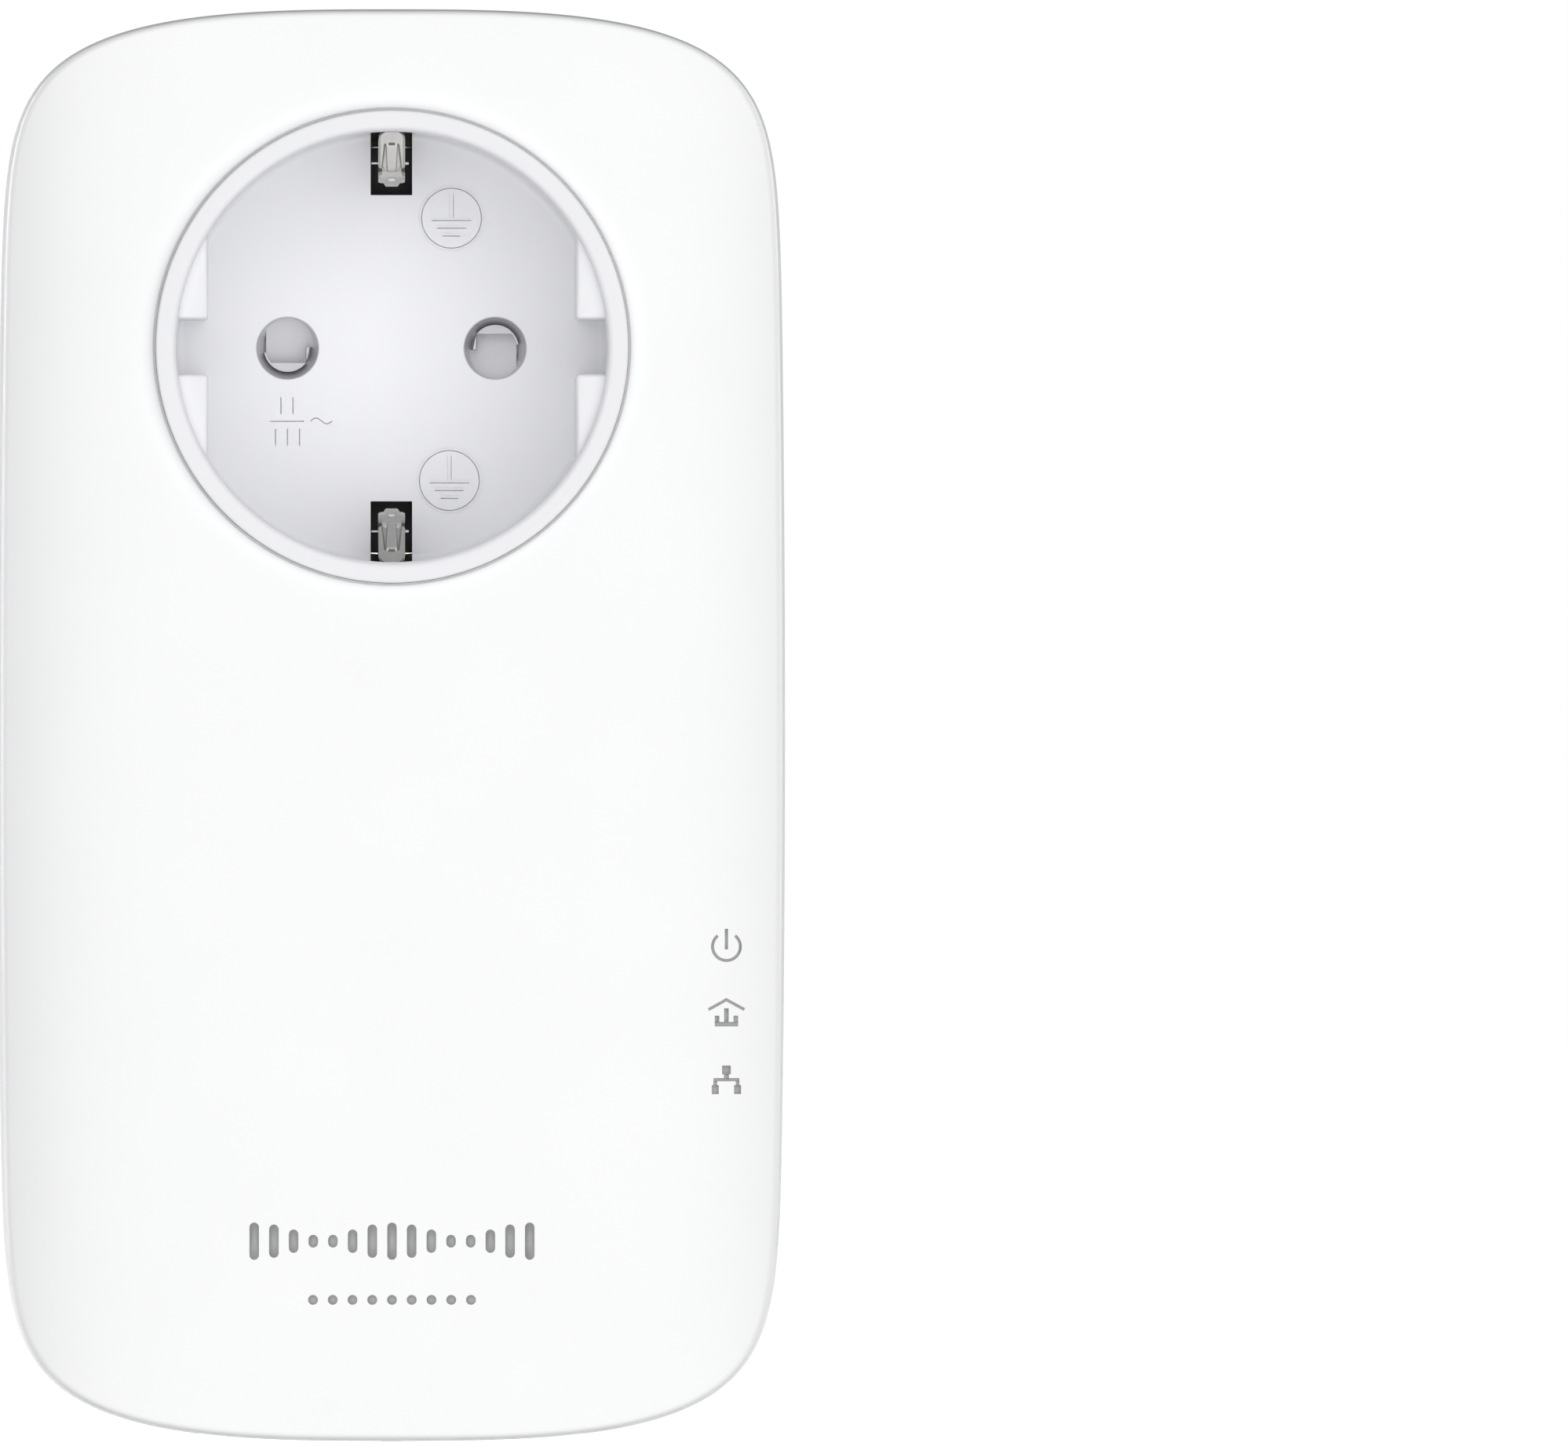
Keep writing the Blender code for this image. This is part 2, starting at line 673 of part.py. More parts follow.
def make_screws():
    for number, (x, z) in enumerate(screw_places(), 1):
        profile = HEAD_PROFILE + SHANK_PROFILE
        screw = turned(f"housing_screw_{number}", STEEL, profile, "Y", (x, z), 16, closed=False)
        slots = []
        for reach_x, reach_z in ((CROSS_LONG, CROSS_SHORT), (CROSS_SHORT, CROSS_LONG)):
            slots.append(((x - reach_x, x + reach_x), CROSS_YS, (z - reach_z, z + reach_z)))
        for i, slot in enumerate(slots):
            cut(screw, boxes_mesh(f"cross_{i}", [slot]))


# ---------------------------------------------------------------- socket


def keying_blocks():
    """Four blocks inside the recess, two at each side of the middle slot."""
    bm = bmesh.new()
    outer = RECESS_R + 0.9
    low = math.degrees(math.asin(BLOCK_SLOT / 2 / outer))
    high = math.degrees(math.acos(BLOCK_X / outer))
    quarter = [(BLOCK_X, BLOCK_SLOT / 2)] + arc((0, 0), outer, low, high, 6)
    for sx in (1, -1):
        for sz in (1, -1):
            outline_points = [(x * sx, z * sz) for x, z in quarter]
            piece = flat_solid("block", outline_points, BLOCK_TOP_Y, FLOOR_Y + 0.8)
            bm.from_mesh(piece)
            bpy.data.meshes.remove(piece)
    bmesh.ops.recalc_face_normals(bm, faces=bm.faces)
    mesh = bpy.data.meshes.new("blocks")
    bm.to_mesh(mesh)
    bm.free()
    return mesh


def make_socket_insert():
    floor_back = FLOOR_Y + FLOOR_THICK
    profile = [
        (0, floor_back),
        (RIM_R, floor_back),
        (RIM_R, FLANGE_YS[1]),
        (FLANGE_R, FLANGE_YS[1]),
        (FLANGE_R, FLANGE_YS[0]),
        (RIM_R, FLANGE_YS[0]),
        (RIM_R, RIM_Y + RIM_CHAMFER),
        (RIM_R - RIM_CHAMFER, RIM_Y),
        (RECESS_R + RIM_ROUND, RIM_Y),
        (RECESS_R + 0.19, RIM_Y + 0.19),
        (RECESS_R, RIM_Y + RIM_ROUND),
        (RECESS_R, FLOOR_Y),
        (0, FLOOR_Y),
    ]
    insert = turned("socket_insert", WHITE, profile, steps=48, closed=False)
    join(insert, keying_blocks())
    holes = [("Y", (x, 0), SOCKET_HOLE_R, FLOOR_Y - 1, floor_back + 1) for x in (-PIN_X, PIN_X)]
    cut(insert, rods_mesh("pin_holes", holes, 24))
    reach = WINDOW_WIDTH / 2
    floor_windows = []
    wall_windows = []
    for side in (-1, 1):
        zs = (side * WINDOW_INNER, side * (RIM_R + 1))
        floor_windows.append(((-reach, reach), (FLOOR_Y - 1, floor_back + 1), zs))
        zs = (side * (RECESS_R - 1.5), side * (RIM_R + 1))
        wall_windows.append(((-reach, reach), (WINDOW_TOP_Y, FLOOR_Y - 0.5), zs))
    cut(insert, boxes_mesh("floor_windows", floor_windows))
    cut(insert, boxes_mesh("wall_windows", wall_windows))


def make_shutter():
    """Disc with a hole for each pin, turned away from the floor's holes at rest."""
    back = SHUTTER_Y + SHUTTER_THICK
    profile = [
        (SHUTTER_R, back),
        (SHUTTER_R, SHUTTER_Y),
        (AXLE_R + GAP, SHUTTER_Y),
        (AXLE_R + GAP, back),
    ]
    shutter = turned("socket_shutter", SHUTTER_WHITE, profile, steps=40)
    holes = []
    for half_turn in (0, 180):
        angle = math.radians(SHUTTER_TURN + half_turn)
        spot = (PIN_X * math.cos(angle), PIN_X * math.sin(angle))
        holes.append(("Y", spot, SOCKET_HOLE_R, SHUTTER_Y - 1, back + 1))
    cut(shutter, rods_mesh("pin_holes", holes, 20))


def make_shutter_retainer():
    profile = [
        (0, RETAINER_BACK),
        (RETAINER_R, RETAINER_BACK),
        (RETAINER_R, RETAINER_FRONT),
        (AXLE_R, RETAINER_FRONT),
        (AXLE_R, SHUTTER_Y),
        (0, SHUTTER_Y),
    ]
    retainer = turned("shutter_retainer", BLACK, profile, steps=40, closed=False)
    ys = (RETAINER_FRONT - 1, RETAINER_BACK + 1)
    holes = [("Y", (x, 0), RETAINER_HOLE_R, *ys) for x in (-PIN_X, PIN_X)]
    cut(retainer, rods_mesh("pin_holes", holes, 16))


def make_shutter_spring():
    """Torsion spring around the retainer's axle."""
    curve = bpy.data.curves.new("shutter_spring", "CURVE")
    curve.dimensions = "3D"
    curve.bevel_depth = SPRING_WIRE_R * MM
    curve.bevel_resolution = 1
    curve.use_fill_caps = True
    spline = curve.splines.new("POLY")
    spline.points.add(SPRING_STEPS)
    for i, point in enumerate(spline.points):
        angle = 2 * math.pi * SPRING_TURNS * i / SPRING_STEPS
        y = SPRING_FRONT + (SPRING_BACK - SPRING_FRONT) * i / SPRING_STEPS
        point.co = (SPRING_R * math.cos(angle) * MM, y * MM, SPRING_R * math.sin(angle) * MM, 1)
    obj = bpy.data.objects.new("shutter_spring", curve)
    curve.materials.append(STEEL)
    PARTS.objects.link(obj)


def make_socket_earth_clip(name, side):
    """Sprung strip that rises behind the floor's window and bows into the recess."""
    points = [(y, side * z) for y, z in [CLIP_ROOT, *CLIP_PATH]]
    origin = (0, CLIP_ROOT[0], side * CLIP_ROOT[1])
    clip = strip(name, NICKEL, points, -CLIP_HALF, CLIP_HALF, CLIP_THICK, origin)
    smooth(clip, 50)


def make_socket_contact(name, side):
    """Split sleeve that grips an inserted pin, with a tail down to the power board."""
    x = side * PIN_X
    start = SLEEVE_GAP_DEGREES / 2 - 270
    end = 90 - SLEEVE_GAP_DEGREES / 2
    ring = arc((x, 0), SLEEVE_OUTER_R, start, end, 24) + arc((x, 0), SLEEVE_INNER_R, end, start, 24)
    sleeve = add_object(name, flat_solid(name, ring, *SLEEVE_YS), BRASS)
    xs = (x - TAIL_HALF, x + TAIL_HALF)
    low = BOARD_TOP_Z - FOOT_BELOW
    join(sleeve, boxes_mesh("tail", [(xs, TAIL_YS, (low, TAIL_TOP_Z))]))
    foot_ys = (sum(TAIL_YS) / 2, POWER_BOARD_Y - GAP)
    join(sleeve, boxes_mesh("foot", [(xs, foot_ys, (low, low + FOOT_THICK))]))


# ---------------------------------------------------------------- plug


def make_plug_base():
    flange_back = BACK_Y - WALL - GAP
    profile = [
        (0, PLUG_FACE_Y),
        (BOSS_R - BOSS_CHAMFER, PLUG_FACE_Y),
        (BOSS_R, PLUG_FACE_Y - BOSS_CHAMFER),
        (BOSS_R, flange_back),
        (BOSS_R + BOSS_FLANGE, flange_back),
        (BOSS_R + BOSS_FLANGE, BOSS_FLANGE_Y),
        (0, BOSS_FLANGE_Y),
    ]
    base = turned("plug_base", PLUG_WHITE, profile, steps=48, closed=False)
    flats = []
    for side in (-1, 1):
        for low, high in ((BOSS_RIB / 2, FLAT_REACH), (-FLAT_REACH, -BOSS_RIB / 2)):
            flats.append(((side * BOSS_FLAT_X, side * 20), (BACK_Y + 0.2, 1), (low, high)))
    cut(base, boxes_mesh("flats", flats))
    grooves = []
    for side in (-1, 1):
        grooves.append(((-GROOVE_HALF, GROOVE_HALF), (-22, 1), [side * z for z in GROOVE_ZS]))
    cut(base, boxes_mesh("clip_grooves", grooves))
    holes = [("Y", (x, 0), PIN_R + PIN_CLEARANCE, -22, 2) for x in (-PIN_X, PIN_X)]
    cut(base, rods_mesh("pin_holes", holes, 24))
    cut(base, rods_mesh("earth_hole", [("Y", (0, EARTH_HOLE_Z), EARTH_HOLE_R + 0.7, -22, 2)], 24))


def make_plug_pin(name, side):
    tip = PLUG_FACE_Y + PIN_LENGTH
    rounding = arc((PIN_R - PIN_TIP_R, tip - PIN_TIP_R), PIN_TIP_R, 90, 0, 4)
    front, back = PIN_HEAD_YS
    head = [(PIN_R, back), (PIN_HEAD_R, back), (PIN_HEAD_R, front), (0, front)]
    profile = [(0, tip)] + rounding + head
    turned(name, NICKEL, profile, "Y", (side * PIN_X, 0), 24, closed=False)


def make_plug_earth_clip(name, side):
    points = [(y, side * z) for y, z in [PLUG_CLIP_ROOT, *PLUG_CLIP_PATH]]
    origin = (0, PLUG_CLIP_ROOT[0], side * PLUG_CLIP_ROOT[1])
    clip = strip(name, NICKEL, points, -PLUG_CLIP_HALF, PLUG_CLIP_HALF, PLUG_CLIP_THICK, origin)
    smooth(clip, 50)


def make_plug_earth_sleeve():
    outer = EARTH_HOLE_R + EARTH_SLEEVE_WALL
    front, back = EARTH_SLEEVE_YS
    profile = [(outer, back), (outer, front), (EARTH_HOLE_R, front), (EARTH_HOLE_R, back)]
    turned("plug_earth_sleeve", BRASS, profile, "Y", (0, EARTH_HOLE_Z), 24)


def make_earth_strap():
    box_part("earth_strap", BRASS, *EARTH_STRAP, 0.15)


def make_busbar(name, side):
    x = side * PIN_X
    box_part(name, BRASS, (x - BUSBAR_HALF, x + BUSBAR_HALF), BUSBAR_YS, BUSBAR_ZS, 0.15)


# ---------------------------------------------------------------- boards


def board_outline():
    half = BOARD_HALF
    return [
        (-half, BOARD_TOP_Z),
        (-half, BOARD_NOTCH_Z),
        (-BOARD_NOTCH_X, BOARD_NOTCH_Z),
        (-BOARD_NOTCH_X, BOARD_BOTTOM_Z),
        (BOARD_NOTCH_X, BOARD_BOTTOM_Z),
        (BOARD_NOTCH_X, BOARD_NOTCH_Z),
        (half, BOARD_NOTCH_Z),
        (half, BOARD_TOP_Z),
    ]


def make_boards():
    for name, y in (("main_board", MAIN_BOARD_Y), ("power_board", POWER_BOARD_Y)):
        add_object(name, flat_solid(name, board_outline(), y, y + BOARD_THICK), BOARD_GREEN)


def on_board(name, paint, board_y, part, bevel):
    """Block that stands on a board's front, one gap clear of it."""
    xs, height, zs = part
    face = board_y - GAP
    return box_part(name, paint, xs, (face - height, face), zs, bevel)


def make_chips():
    """Main chip with its heatsink, switch chip and memory on the front of the main board."""
    on_board("plc_chip", BLACK, MAIN_BOARD_Y, PLC_CHIP, 0.2)
    on_board("switch_chip", BLACK, MAIN_BOARD_Y, SWITCH_CHIP, 0.2)
    on_board("memory_chip", BLACK, MAIN_BOARD_Y, MEMORY_CHIP, 0.2)
    pad_back = MAIN_BOARD_Y - GAP - PLC_CHIP[1] - GAP
    box_part("thermal_pad", PAD_BLUE, PAD_XS, (pad_back - PAD_THICK, pad_back), PAD_ZS)
    sink_back = pad_back - PAD_THICK - GAP
    plate = [(SINK_XS, (sink_back - SINK_THICK, sink_back), SINK_ZS)]
    sink = add_object("heatsink", boxes_mesh("heatsink", plate), ALUMINIUM)
    fins = []
    for x in np.linspace(SINK_XS[0] + FIN_HALF, SINK_XS[1] - FIN_HALF, FIN_COUNT):
        fins.append(((x - FIN_HALF, x + FIN_HALF), (FIN_FRONT_Y, sink_back - 1.0), SINK_ZS))
    join(sink, boxes_mesh("fins", fins))


def make_lights():
    names = ("led_power", "led_powerline", "led_ethernet")
    face = MAIN_BOARD_Y - GAP
    y, half = SIDE_FEATURE_Y, LED_HALF[1]
    for name, z in zip(names, LIGHT_ZS):
        box_part(name, CLEAR, LED_XS, (y - LED_HALF[0], face), (z - half, z + half), 0.15)
    half_y, half_z = PIPE_ARM_HALF
    arms = []
    for z in LIGHT_ZS:
        arms.append(((PIPE_ARM_START, LIGHT_FACE_X), (y - half_y, y + half_y), (z - half_z, z + half_z)))
    half_y, half_z = PIPE_BAR_HALF
    bar = [(PIPE_BAR_XS, (y - half_y, y + half_y), (LIGHT_ZS[2] - half_z, LIGHT_ZS[0] + half_z))]
    pipe = add_object("light_pipe", boxes_mesh("light_pipe", bar), CLEAR)
    join(pipe, boxes_mesh("arms", arms))


def side_box(xs, half):
    """Box through the side features' middle line at the pair button's height."""
    half_y, half_z = half
    ys = (SIDE_FEATURE_Y - half_y, SIDE_FEATURE_Y + half_y)
    return xs, ys, (PAIR_Z - half_z, PAIR_Z + half_z)


def make_pair_button():
    """Button cap through the side wall, with a flange and a stem inside, and its switch."""
    cap = pair_slot("pair_button", *PAIR_CAP, PAIR_CAP_START, PAIR_FACE_X)
    button = add_object("pair_button", cap, WHITE, (PAIR_FACE_X, SIDE_FEATURE_Y, PAIR_Z))
    join(button, pair_slot("flange", *PAIR_FLANGE, *PAIR_FLANGE_XS))
    join(button, boxes_mesh("stem", [side_box(PAIR_STEM_XS, PAIR_STEM_HALF)]))
    half_y, half_z = PAIR_SWITCH_HALF
    ys = (SIDE_FEATURE_Y - half_y, MAIN_BOARD_Y - GAP)
    zs = (PAIR_Z - half_z, PAIR_Z + half_z)
    body = box_part("pair_switch_body", BLACK, PAIR_SWITCH_XS, ys, zs)
    cut(body, boxes_mesh("bore", [side_box(PAIR_BORE_XS, PAIR_BORE_HALF)]))
    origin = (PAIR_PLUNGER_XS[1], SIDE_FEATURE_Y, PAIR_Z)
    plunger = side_box(PAIR_PLUNGER_XS, PAIR_PLUNGER_HALF)
    box_part("pair_switch_plunger", BLACK, *plunger, 0.15, origin)


def reset_box(half_x, half_y, zs):
    """Box about the pinhole's line."""
    ys = (SIDE_FEATURE_Y - half_y, SIDE_FEATURE_Y + half_y)
    return (RESET_X - half_x, RESET_X + half_x), ys, zs


def make_reset_switch():
    """Switch behind the pinhole in the lower end."""
    half_x, half_y = RESET_SWITCH_HALF
    ys = (SIDE_FEATURE_Y - half_y, MAIN_BOARD_Y - GAP)
    xs = (RESET_X - half_x, RESET_X + half_x)
    body = box_part("reset_switch_body", BLACK, xs, ys, RESET_SWITCH_ZS)
    cut(body, boxes_mesh("bore", [reset_box(RESET_BORE_HALF, RESET_BORE_HALF, RESET_BORE_ZS)]))
    zs = (RESET_TIP_Z, RESET_PLUNGER_END)
    plunger = reset_box(RESET_PLUNGER_HALF, RESET_PLUNGER_HALF, zs)
    origin = (RESET_X, SIDE_FEATURE_Y, RESET_TIP_Z)
    box_part("reset_switch_plunger", BLACK, *plunger, 0.15, origin)


def make_power_parts():
    """Mains filter and supply on the front of the power board."""
    face = POWER_BOARD_Y - GAP
    block = on_board("smps_transformer", FERRITE, POWER_BOARD_Y, TRANSFORMER, 0.4)
    low, high = WINDING_HEIGHTS
    join(block, boxes_mesh("winding", [(WINDING_XS, (face - high, face - low), WINDING_ZS)]))
    on_board("x_capacitor", FILM_YELLOW, POWER_BOARD_Y, X_CAPACITOR, 0.6)
    on_board("y_capacitor", CERAMIC_BLUE, POWER_BOARD_Y, Y_CAPACITOR, 0.6)
    on_board("bridge_rectifier", BLACK, POWER_BOARD_Y, BRIDGE, 0.3)
    on_board("coupling_transformer", FERRITE, POWER_BOARD_Y, COUPLER, 0.4)
    low, high = BULK_XS
    end_r = BULK_R - BULK_CHAMFER
    profile = [(0, high), (end_r, high), (BULK_R, high - BULK_CHAMFER)]
    profile += [(BULK_R, low + BULK_CHAMFER), (end_r, low), (0, low)]
    for name, z in zip(("bulk_capacitor_upper", "bulk_capacitor_lower"), BULK_ZS):
        turned(name, SLEEVE_BLACK, profile, "X", (face - BULK_HEIGHT, z), 24, closed=False)
    low, high = FUSE_XS
    top, bottom = high - FUSE_CAP, low + FUSE_CAP
    profile = [(0, high), (FUSE_R, high), (FUSE_R, top), (FUSE_GLASS_R, top - FUSE_STEP)]
    profile += [(FUSE_GLASS_R, bottom + FUSE_STEP), (FUSE_R, bottom), (FUSE_R, low), (0, low)]
    turned("fuse", GLASSY, profile, "X", (face - FUSE_HEIGHT, FUSE_Z), 16, closed=False)
    place = (VARISTOR_X, face - VARISTOR_HEIGHT)
    disc = rods_mesh("varistor", [("Z", place, VARISTOR_R, *VARISTOR_ZS)], 24)
    round_edges(add_object("varistor", disc, CERAMIC_BLUE), 0.6, 2)
    ring = []
    for i in range(8):
        angle = math.radians(-45 * i)
        across = CHOKE_RING_R * math.cos(angle)
        ring.append((CHOKE_R + across, face - CHOKE_HEIGHT + CHOKE_RING_R * math.sin(angle)))
    turned("common_mode_choke", FERRITE, ring, "Y", CHOKE_PLACE, 24)
    ys = (MAIN_BOARD_Y + BOARD_THICK + GAP, POWER_BOARD_Y - GAP)
    box_part("board_connector", BLACK, CONNECTOR_XS, ys, CONNECTOR_ZS, 0.2)


def make_jacks():
    y_low = MAIN_BOARD_Y + BOARD_THICK + GAP
    deep = JACK_FACE_Z + JACK_CAVITY_DEPTH
    for name, x in (("left", -JACK_X), ("right", JACK_X)):
        zs = (JACK_FACE_Z, JACK_FACE_Z + JACK_LENGTH)
        xs = (x - JACK_WIDTH / 2, x + JACK_WIDTH / 2)
        jack = box_part(f"lan_jack_{name}", TIN, xs, (y_low, y_low + JACK_HEIGHT), zs)
        reach = JACK_CAVITY_WIDTH / 2
        ys = [y_low + height for height in JACK_CAVITY_HEIGHTS]
        cut(jack, boxes_mesh("cavity", [((x - reach, x + reach), ys, (JACK_FACE_Z - 1, deep))]))
        xs = (x - JACK_NOTCH_HALF, x + JACK_NOTCH_HALF)
        ys = [y_low + height for height in JACK_NOTCH_HEIGHTS]
        notch = (xs, ys, (JACK_FACE_Z - 1, deep - JACK_NOTCH_SHORTER))
        cut(jack, boxes_mesh("notch", [notch]))
        make_jack_contacts(name, x, y_low + JACK_CAVITY_HEIGHTS[0], deep)
        xs = (x - MAGNETICS_HALF, x + MAGNETICS_HALF)
        ys = (y_low, y_low + MAGNETICS_HEIGHT)
        box_part(f"lan_magnetics_{name}", BLACK, xs, ys, MAGNETICS_ZS, 0.3)


def make_jack_contacts(name, x, wall_y, deep):
    """Comb of eight sprung wires on one bar, leaning into the jack's cavity."""
    root = (x, wall_y + COMB_RISE, deep - COMB_SETBACK)
    half_y, half_z = COMB_BAR
    ys = (root[1] - half_y, root[1] + half_y)
    bar = ((x - COMB_HALF, x + COMB_HALF), ys, (root[2] - half_z, root[2] + half_z))
    comb = add_object(f"lan_contacts_{name}", boxes_mesh(f"lan_contacts_{name}", [bar]), BRASS, root)
    wires = bmesh.new()
    place = Matrix.Translation(root) @ Matrix.Rotation(math.radians(WIRE_LEAN), 4, "X")
    size = Matrix.Diagonal((*WIRE_SIZE, 1))
    for i in range(WIRE_COUNT):
        across = (i - (WIRE_COUNT - 1) / 2) * WIRE_PITCH
        shift = Matrix.Translation((across, 0, -WIRE_SIZE[2] / 2))
        bmesh.ops.create_cube(wires, size=1, matrix=place @ shift @ size)
    join(comb, finish(wires, "wires"))


# ---------------------------------------------------------------- assembly


def make_adapter():
    make_front_cover()
    make_rear_housing()
    make_screws()
    make_socket_insert()
    make_shutter()
    make_shutter_retainer()
    make_shutter_spring()
    make_socket_earth_clip("socket_earth_clip_upper", 1)
    make_socket_earth_clip("socket_earth_clip_lower", -1)
    make_socket_contact("live_socket_contact", -1)
    make_socket_contact("neutral_socket_contact", 1)
    make_plug_base()
    make_plug_pin("live_plug_pin", -1)
    make_plug_pin("neutral_plug_pin", 1)
    make_plug_earth_clip("plug_earth_clip_upper", 1)
    make_plug_earth_clip("plug_earth_clip_lower", -1)
    make_plug_earth_sleeve()
    make_earth_strap()
    make_busbar("live_busbar", -1)
    make_busbar("neutral_busbar", 1)
    make_boards()
    make_chips()
    make_lights()
    make_pair_button()
    make_reset_switch()
    make_power_parts()
    make_jacks()


make_adapter()
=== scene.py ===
"""Looks of a powerline adapter with a pass-through mains socket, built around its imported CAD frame.

Lengths are millimetres in the part's frame: +X to the right of someone facing the socket, +Y into the wall,
+Z up, origin in the middle of the plug's end face. MM turns them into metres when a mesh is made.
"""

import math

import bmesh
import bpy
import numpy as np
from mathutils import Matrix, Vector


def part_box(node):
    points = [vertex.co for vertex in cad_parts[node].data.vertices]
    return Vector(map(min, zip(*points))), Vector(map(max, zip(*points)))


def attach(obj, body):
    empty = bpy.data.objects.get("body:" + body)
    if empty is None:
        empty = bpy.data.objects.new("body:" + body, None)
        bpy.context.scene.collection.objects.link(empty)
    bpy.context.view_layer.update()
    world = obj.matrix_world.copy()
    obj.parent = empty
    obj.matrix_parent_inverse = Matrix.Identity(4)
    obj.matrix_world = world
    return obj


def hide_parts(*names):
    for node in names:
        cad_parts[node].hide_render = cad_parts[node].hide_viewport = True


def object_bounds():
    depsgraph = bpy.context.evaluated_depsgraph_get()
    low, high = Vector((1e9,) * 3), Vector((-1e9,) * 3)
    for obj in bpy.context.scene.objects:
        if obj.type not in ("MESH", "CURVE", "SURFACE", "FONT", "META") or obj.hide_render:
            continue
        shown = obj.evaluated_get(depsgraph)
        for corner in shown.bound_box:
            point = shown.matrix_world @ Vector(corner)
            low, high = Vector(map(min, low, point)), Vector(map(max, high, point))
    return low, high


MM = 0.001

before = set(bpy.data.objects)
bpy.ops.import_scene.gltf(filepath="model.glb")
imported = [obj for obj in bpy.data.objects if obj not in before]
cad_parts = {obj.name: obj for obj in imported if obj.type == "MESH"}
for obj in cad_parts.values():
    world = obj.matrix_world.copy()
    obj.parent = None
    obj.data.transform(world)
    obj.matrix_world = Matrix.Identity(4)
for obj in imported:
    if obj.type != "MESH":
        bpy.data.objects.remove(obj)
CAD_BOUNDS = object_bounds()


def about(middle, half):
    """Range that reaches half to both sides of its middle."""
    return (middle - half, middle + half)


def span(node):
    """Lowest and highest corner of a CAD node in millimetres."""
    low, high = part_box(node)
    return np.array(low) / MM, np.array(high) / MM


# Body outline: superellipse-like, full size at the parting line
HALF_HEIGHT = 65.5
SIDE_HALF = 35.2
SIDE_BULGE = 0.8
TOP_POWER = 12.8
CORNER_POWER = 2.96
BODY_MIDDLE_Z = -34.5
RAYS = 432

# Depths along Y
RIM_Y = -59.0
COVER_Y = -58.3
PARTING_Y = -41.5
BACK_Y = -17.0
SEAM = 0.15
WALL = 2.0

# Domed front
DOME_DEPTH = 5.0
DOME_POWER = 5.2
CROWN_DEPTH = 0.8
CROWN_POWER = 6.0
FRONT_INSET = 0.35
FRONT_EDGE_R = 0.6
BACK_TAPER = 1.2
BACK_EDGE_R = 3.0

# Blank label panel and vents
PANEL_XS = (-19.5, 19.5)
PANEL_ZS = (-80.0, -48.0)
PANEL_EDGE_R = 2.0
PANEL_DEPTH = 0.3
VENT_COUNT = 7
VENT_LENGTH = 11.0
VENT_WIDTH = 1.4
VENT_Y = -30.0
VENT_TOP_Z = -36.0
VENT_PITCH = 4.0

# Socket
RECESS_R = 19.65
RIM_R = 21.55
RIM_GAP = 0.20
LIP_R = 0.15
LEDGE_DEPTH = 0.45
DIP_DEPTH = 0.30
DIP_WIDTH = 1.9
FLOOR_Y = -41.5
FLOOR_BACK = -40.3
PIN_X = 9.5
SOCKET_HOLE_R = 2.83
BLOCK_X = 16.75
BLOCK_TOP_Y = -57.9
BLOCK_SLOT = 5.0
WINDOW_WIDTH = 3.8
WINDOW_INNER = 14.0
WINDOW_TOP_Y = -53.2
FLANGE_R = 23.2
FLANGE_BACK_Y = -53.7
FLANGE_FRONT_Y = -54.8
FLOOR_MARK_Z = -6.65
GROOVE_DEEP = 0.30

# Earth clips
CLIP_HALF = 1.215

# View: width seen at the cover, and the camera's small turn to the left and below
FRAME_WIDTH = 142.9
LENS = 1200.0
SENSOR = 36.0
VIEW_LEFT = 0.2
VIEW_BELOW = 0.12

# Shutter
SHUTTER_R = 12.9
SHUTTER_Y = -40.15
SHUTTER_BACK = -37.35
SHUTTER_TURN = 36.0
AXLE_R = 1.9
POCKET_R = 2.19
POCKET_EDGE = 1.37

# Plug
PIN_R = 2.4
PIN_TIP = 19.0
BOSS_R = 18.4
BOSS_FLAT_X = 16.3
BOSS_RIB = 4.6
BOSS_FLANGE_Y = -20.4
EARTH_HOLE_Z = 10.0
EARTH_HOLE_R = 2.5

# Features of the ends and sides
SIDE_FEATURE_Y = -49.0
LIGHT_ZS = (-54.7, -60.8, -66.9)
LIGHT_FACE_X = 35.4
PAIR_Z = -78.0
PAIR_FACE_X = 35.2
RESET_X = 19.8
SCREW_PLACES = [(side * 26.0, z) for z in (21.0, -91.0) for side in (-1, 1)]
POST_R = 3.0
POST_YS = (-55.9, -29.6)
TUBE_R = 3.8
TUBE_YS = (-29.2, -17.6)
JACK_X = 9.3
JACK_FACE_Z = -99.2
JACK_CAVITY_HALF = 5.95
JACK_NOTCH_HALF = 3.1
JACK_DEEP = 14.0
CONTACT_COUNT = 8
CONTACT_PITCH = 1.02

# Printed marks
ICON_X = 30.5
MARK_PROUD = 0.03
MARK_Z = -81.55
MARK_WIDTH = 26.9
MARK_HEIGHT = 3.4


# ---------------------------------------------------------------- mesh helpers


def mesh_of(name, points, faces):
    mesh = bpy.data.meshes.new(name)
    mesh.from_pydata((np.asarray(points, float) * MM).tolist(), [], faces)
    bm = bmesh.new()
    bm.from_mesh(mesh)
    bmesh.ops.recalc_face_normals(bm, faces=bm.faces)
    bm.to_mesh(mesh)
    bm.free()
    return mesh


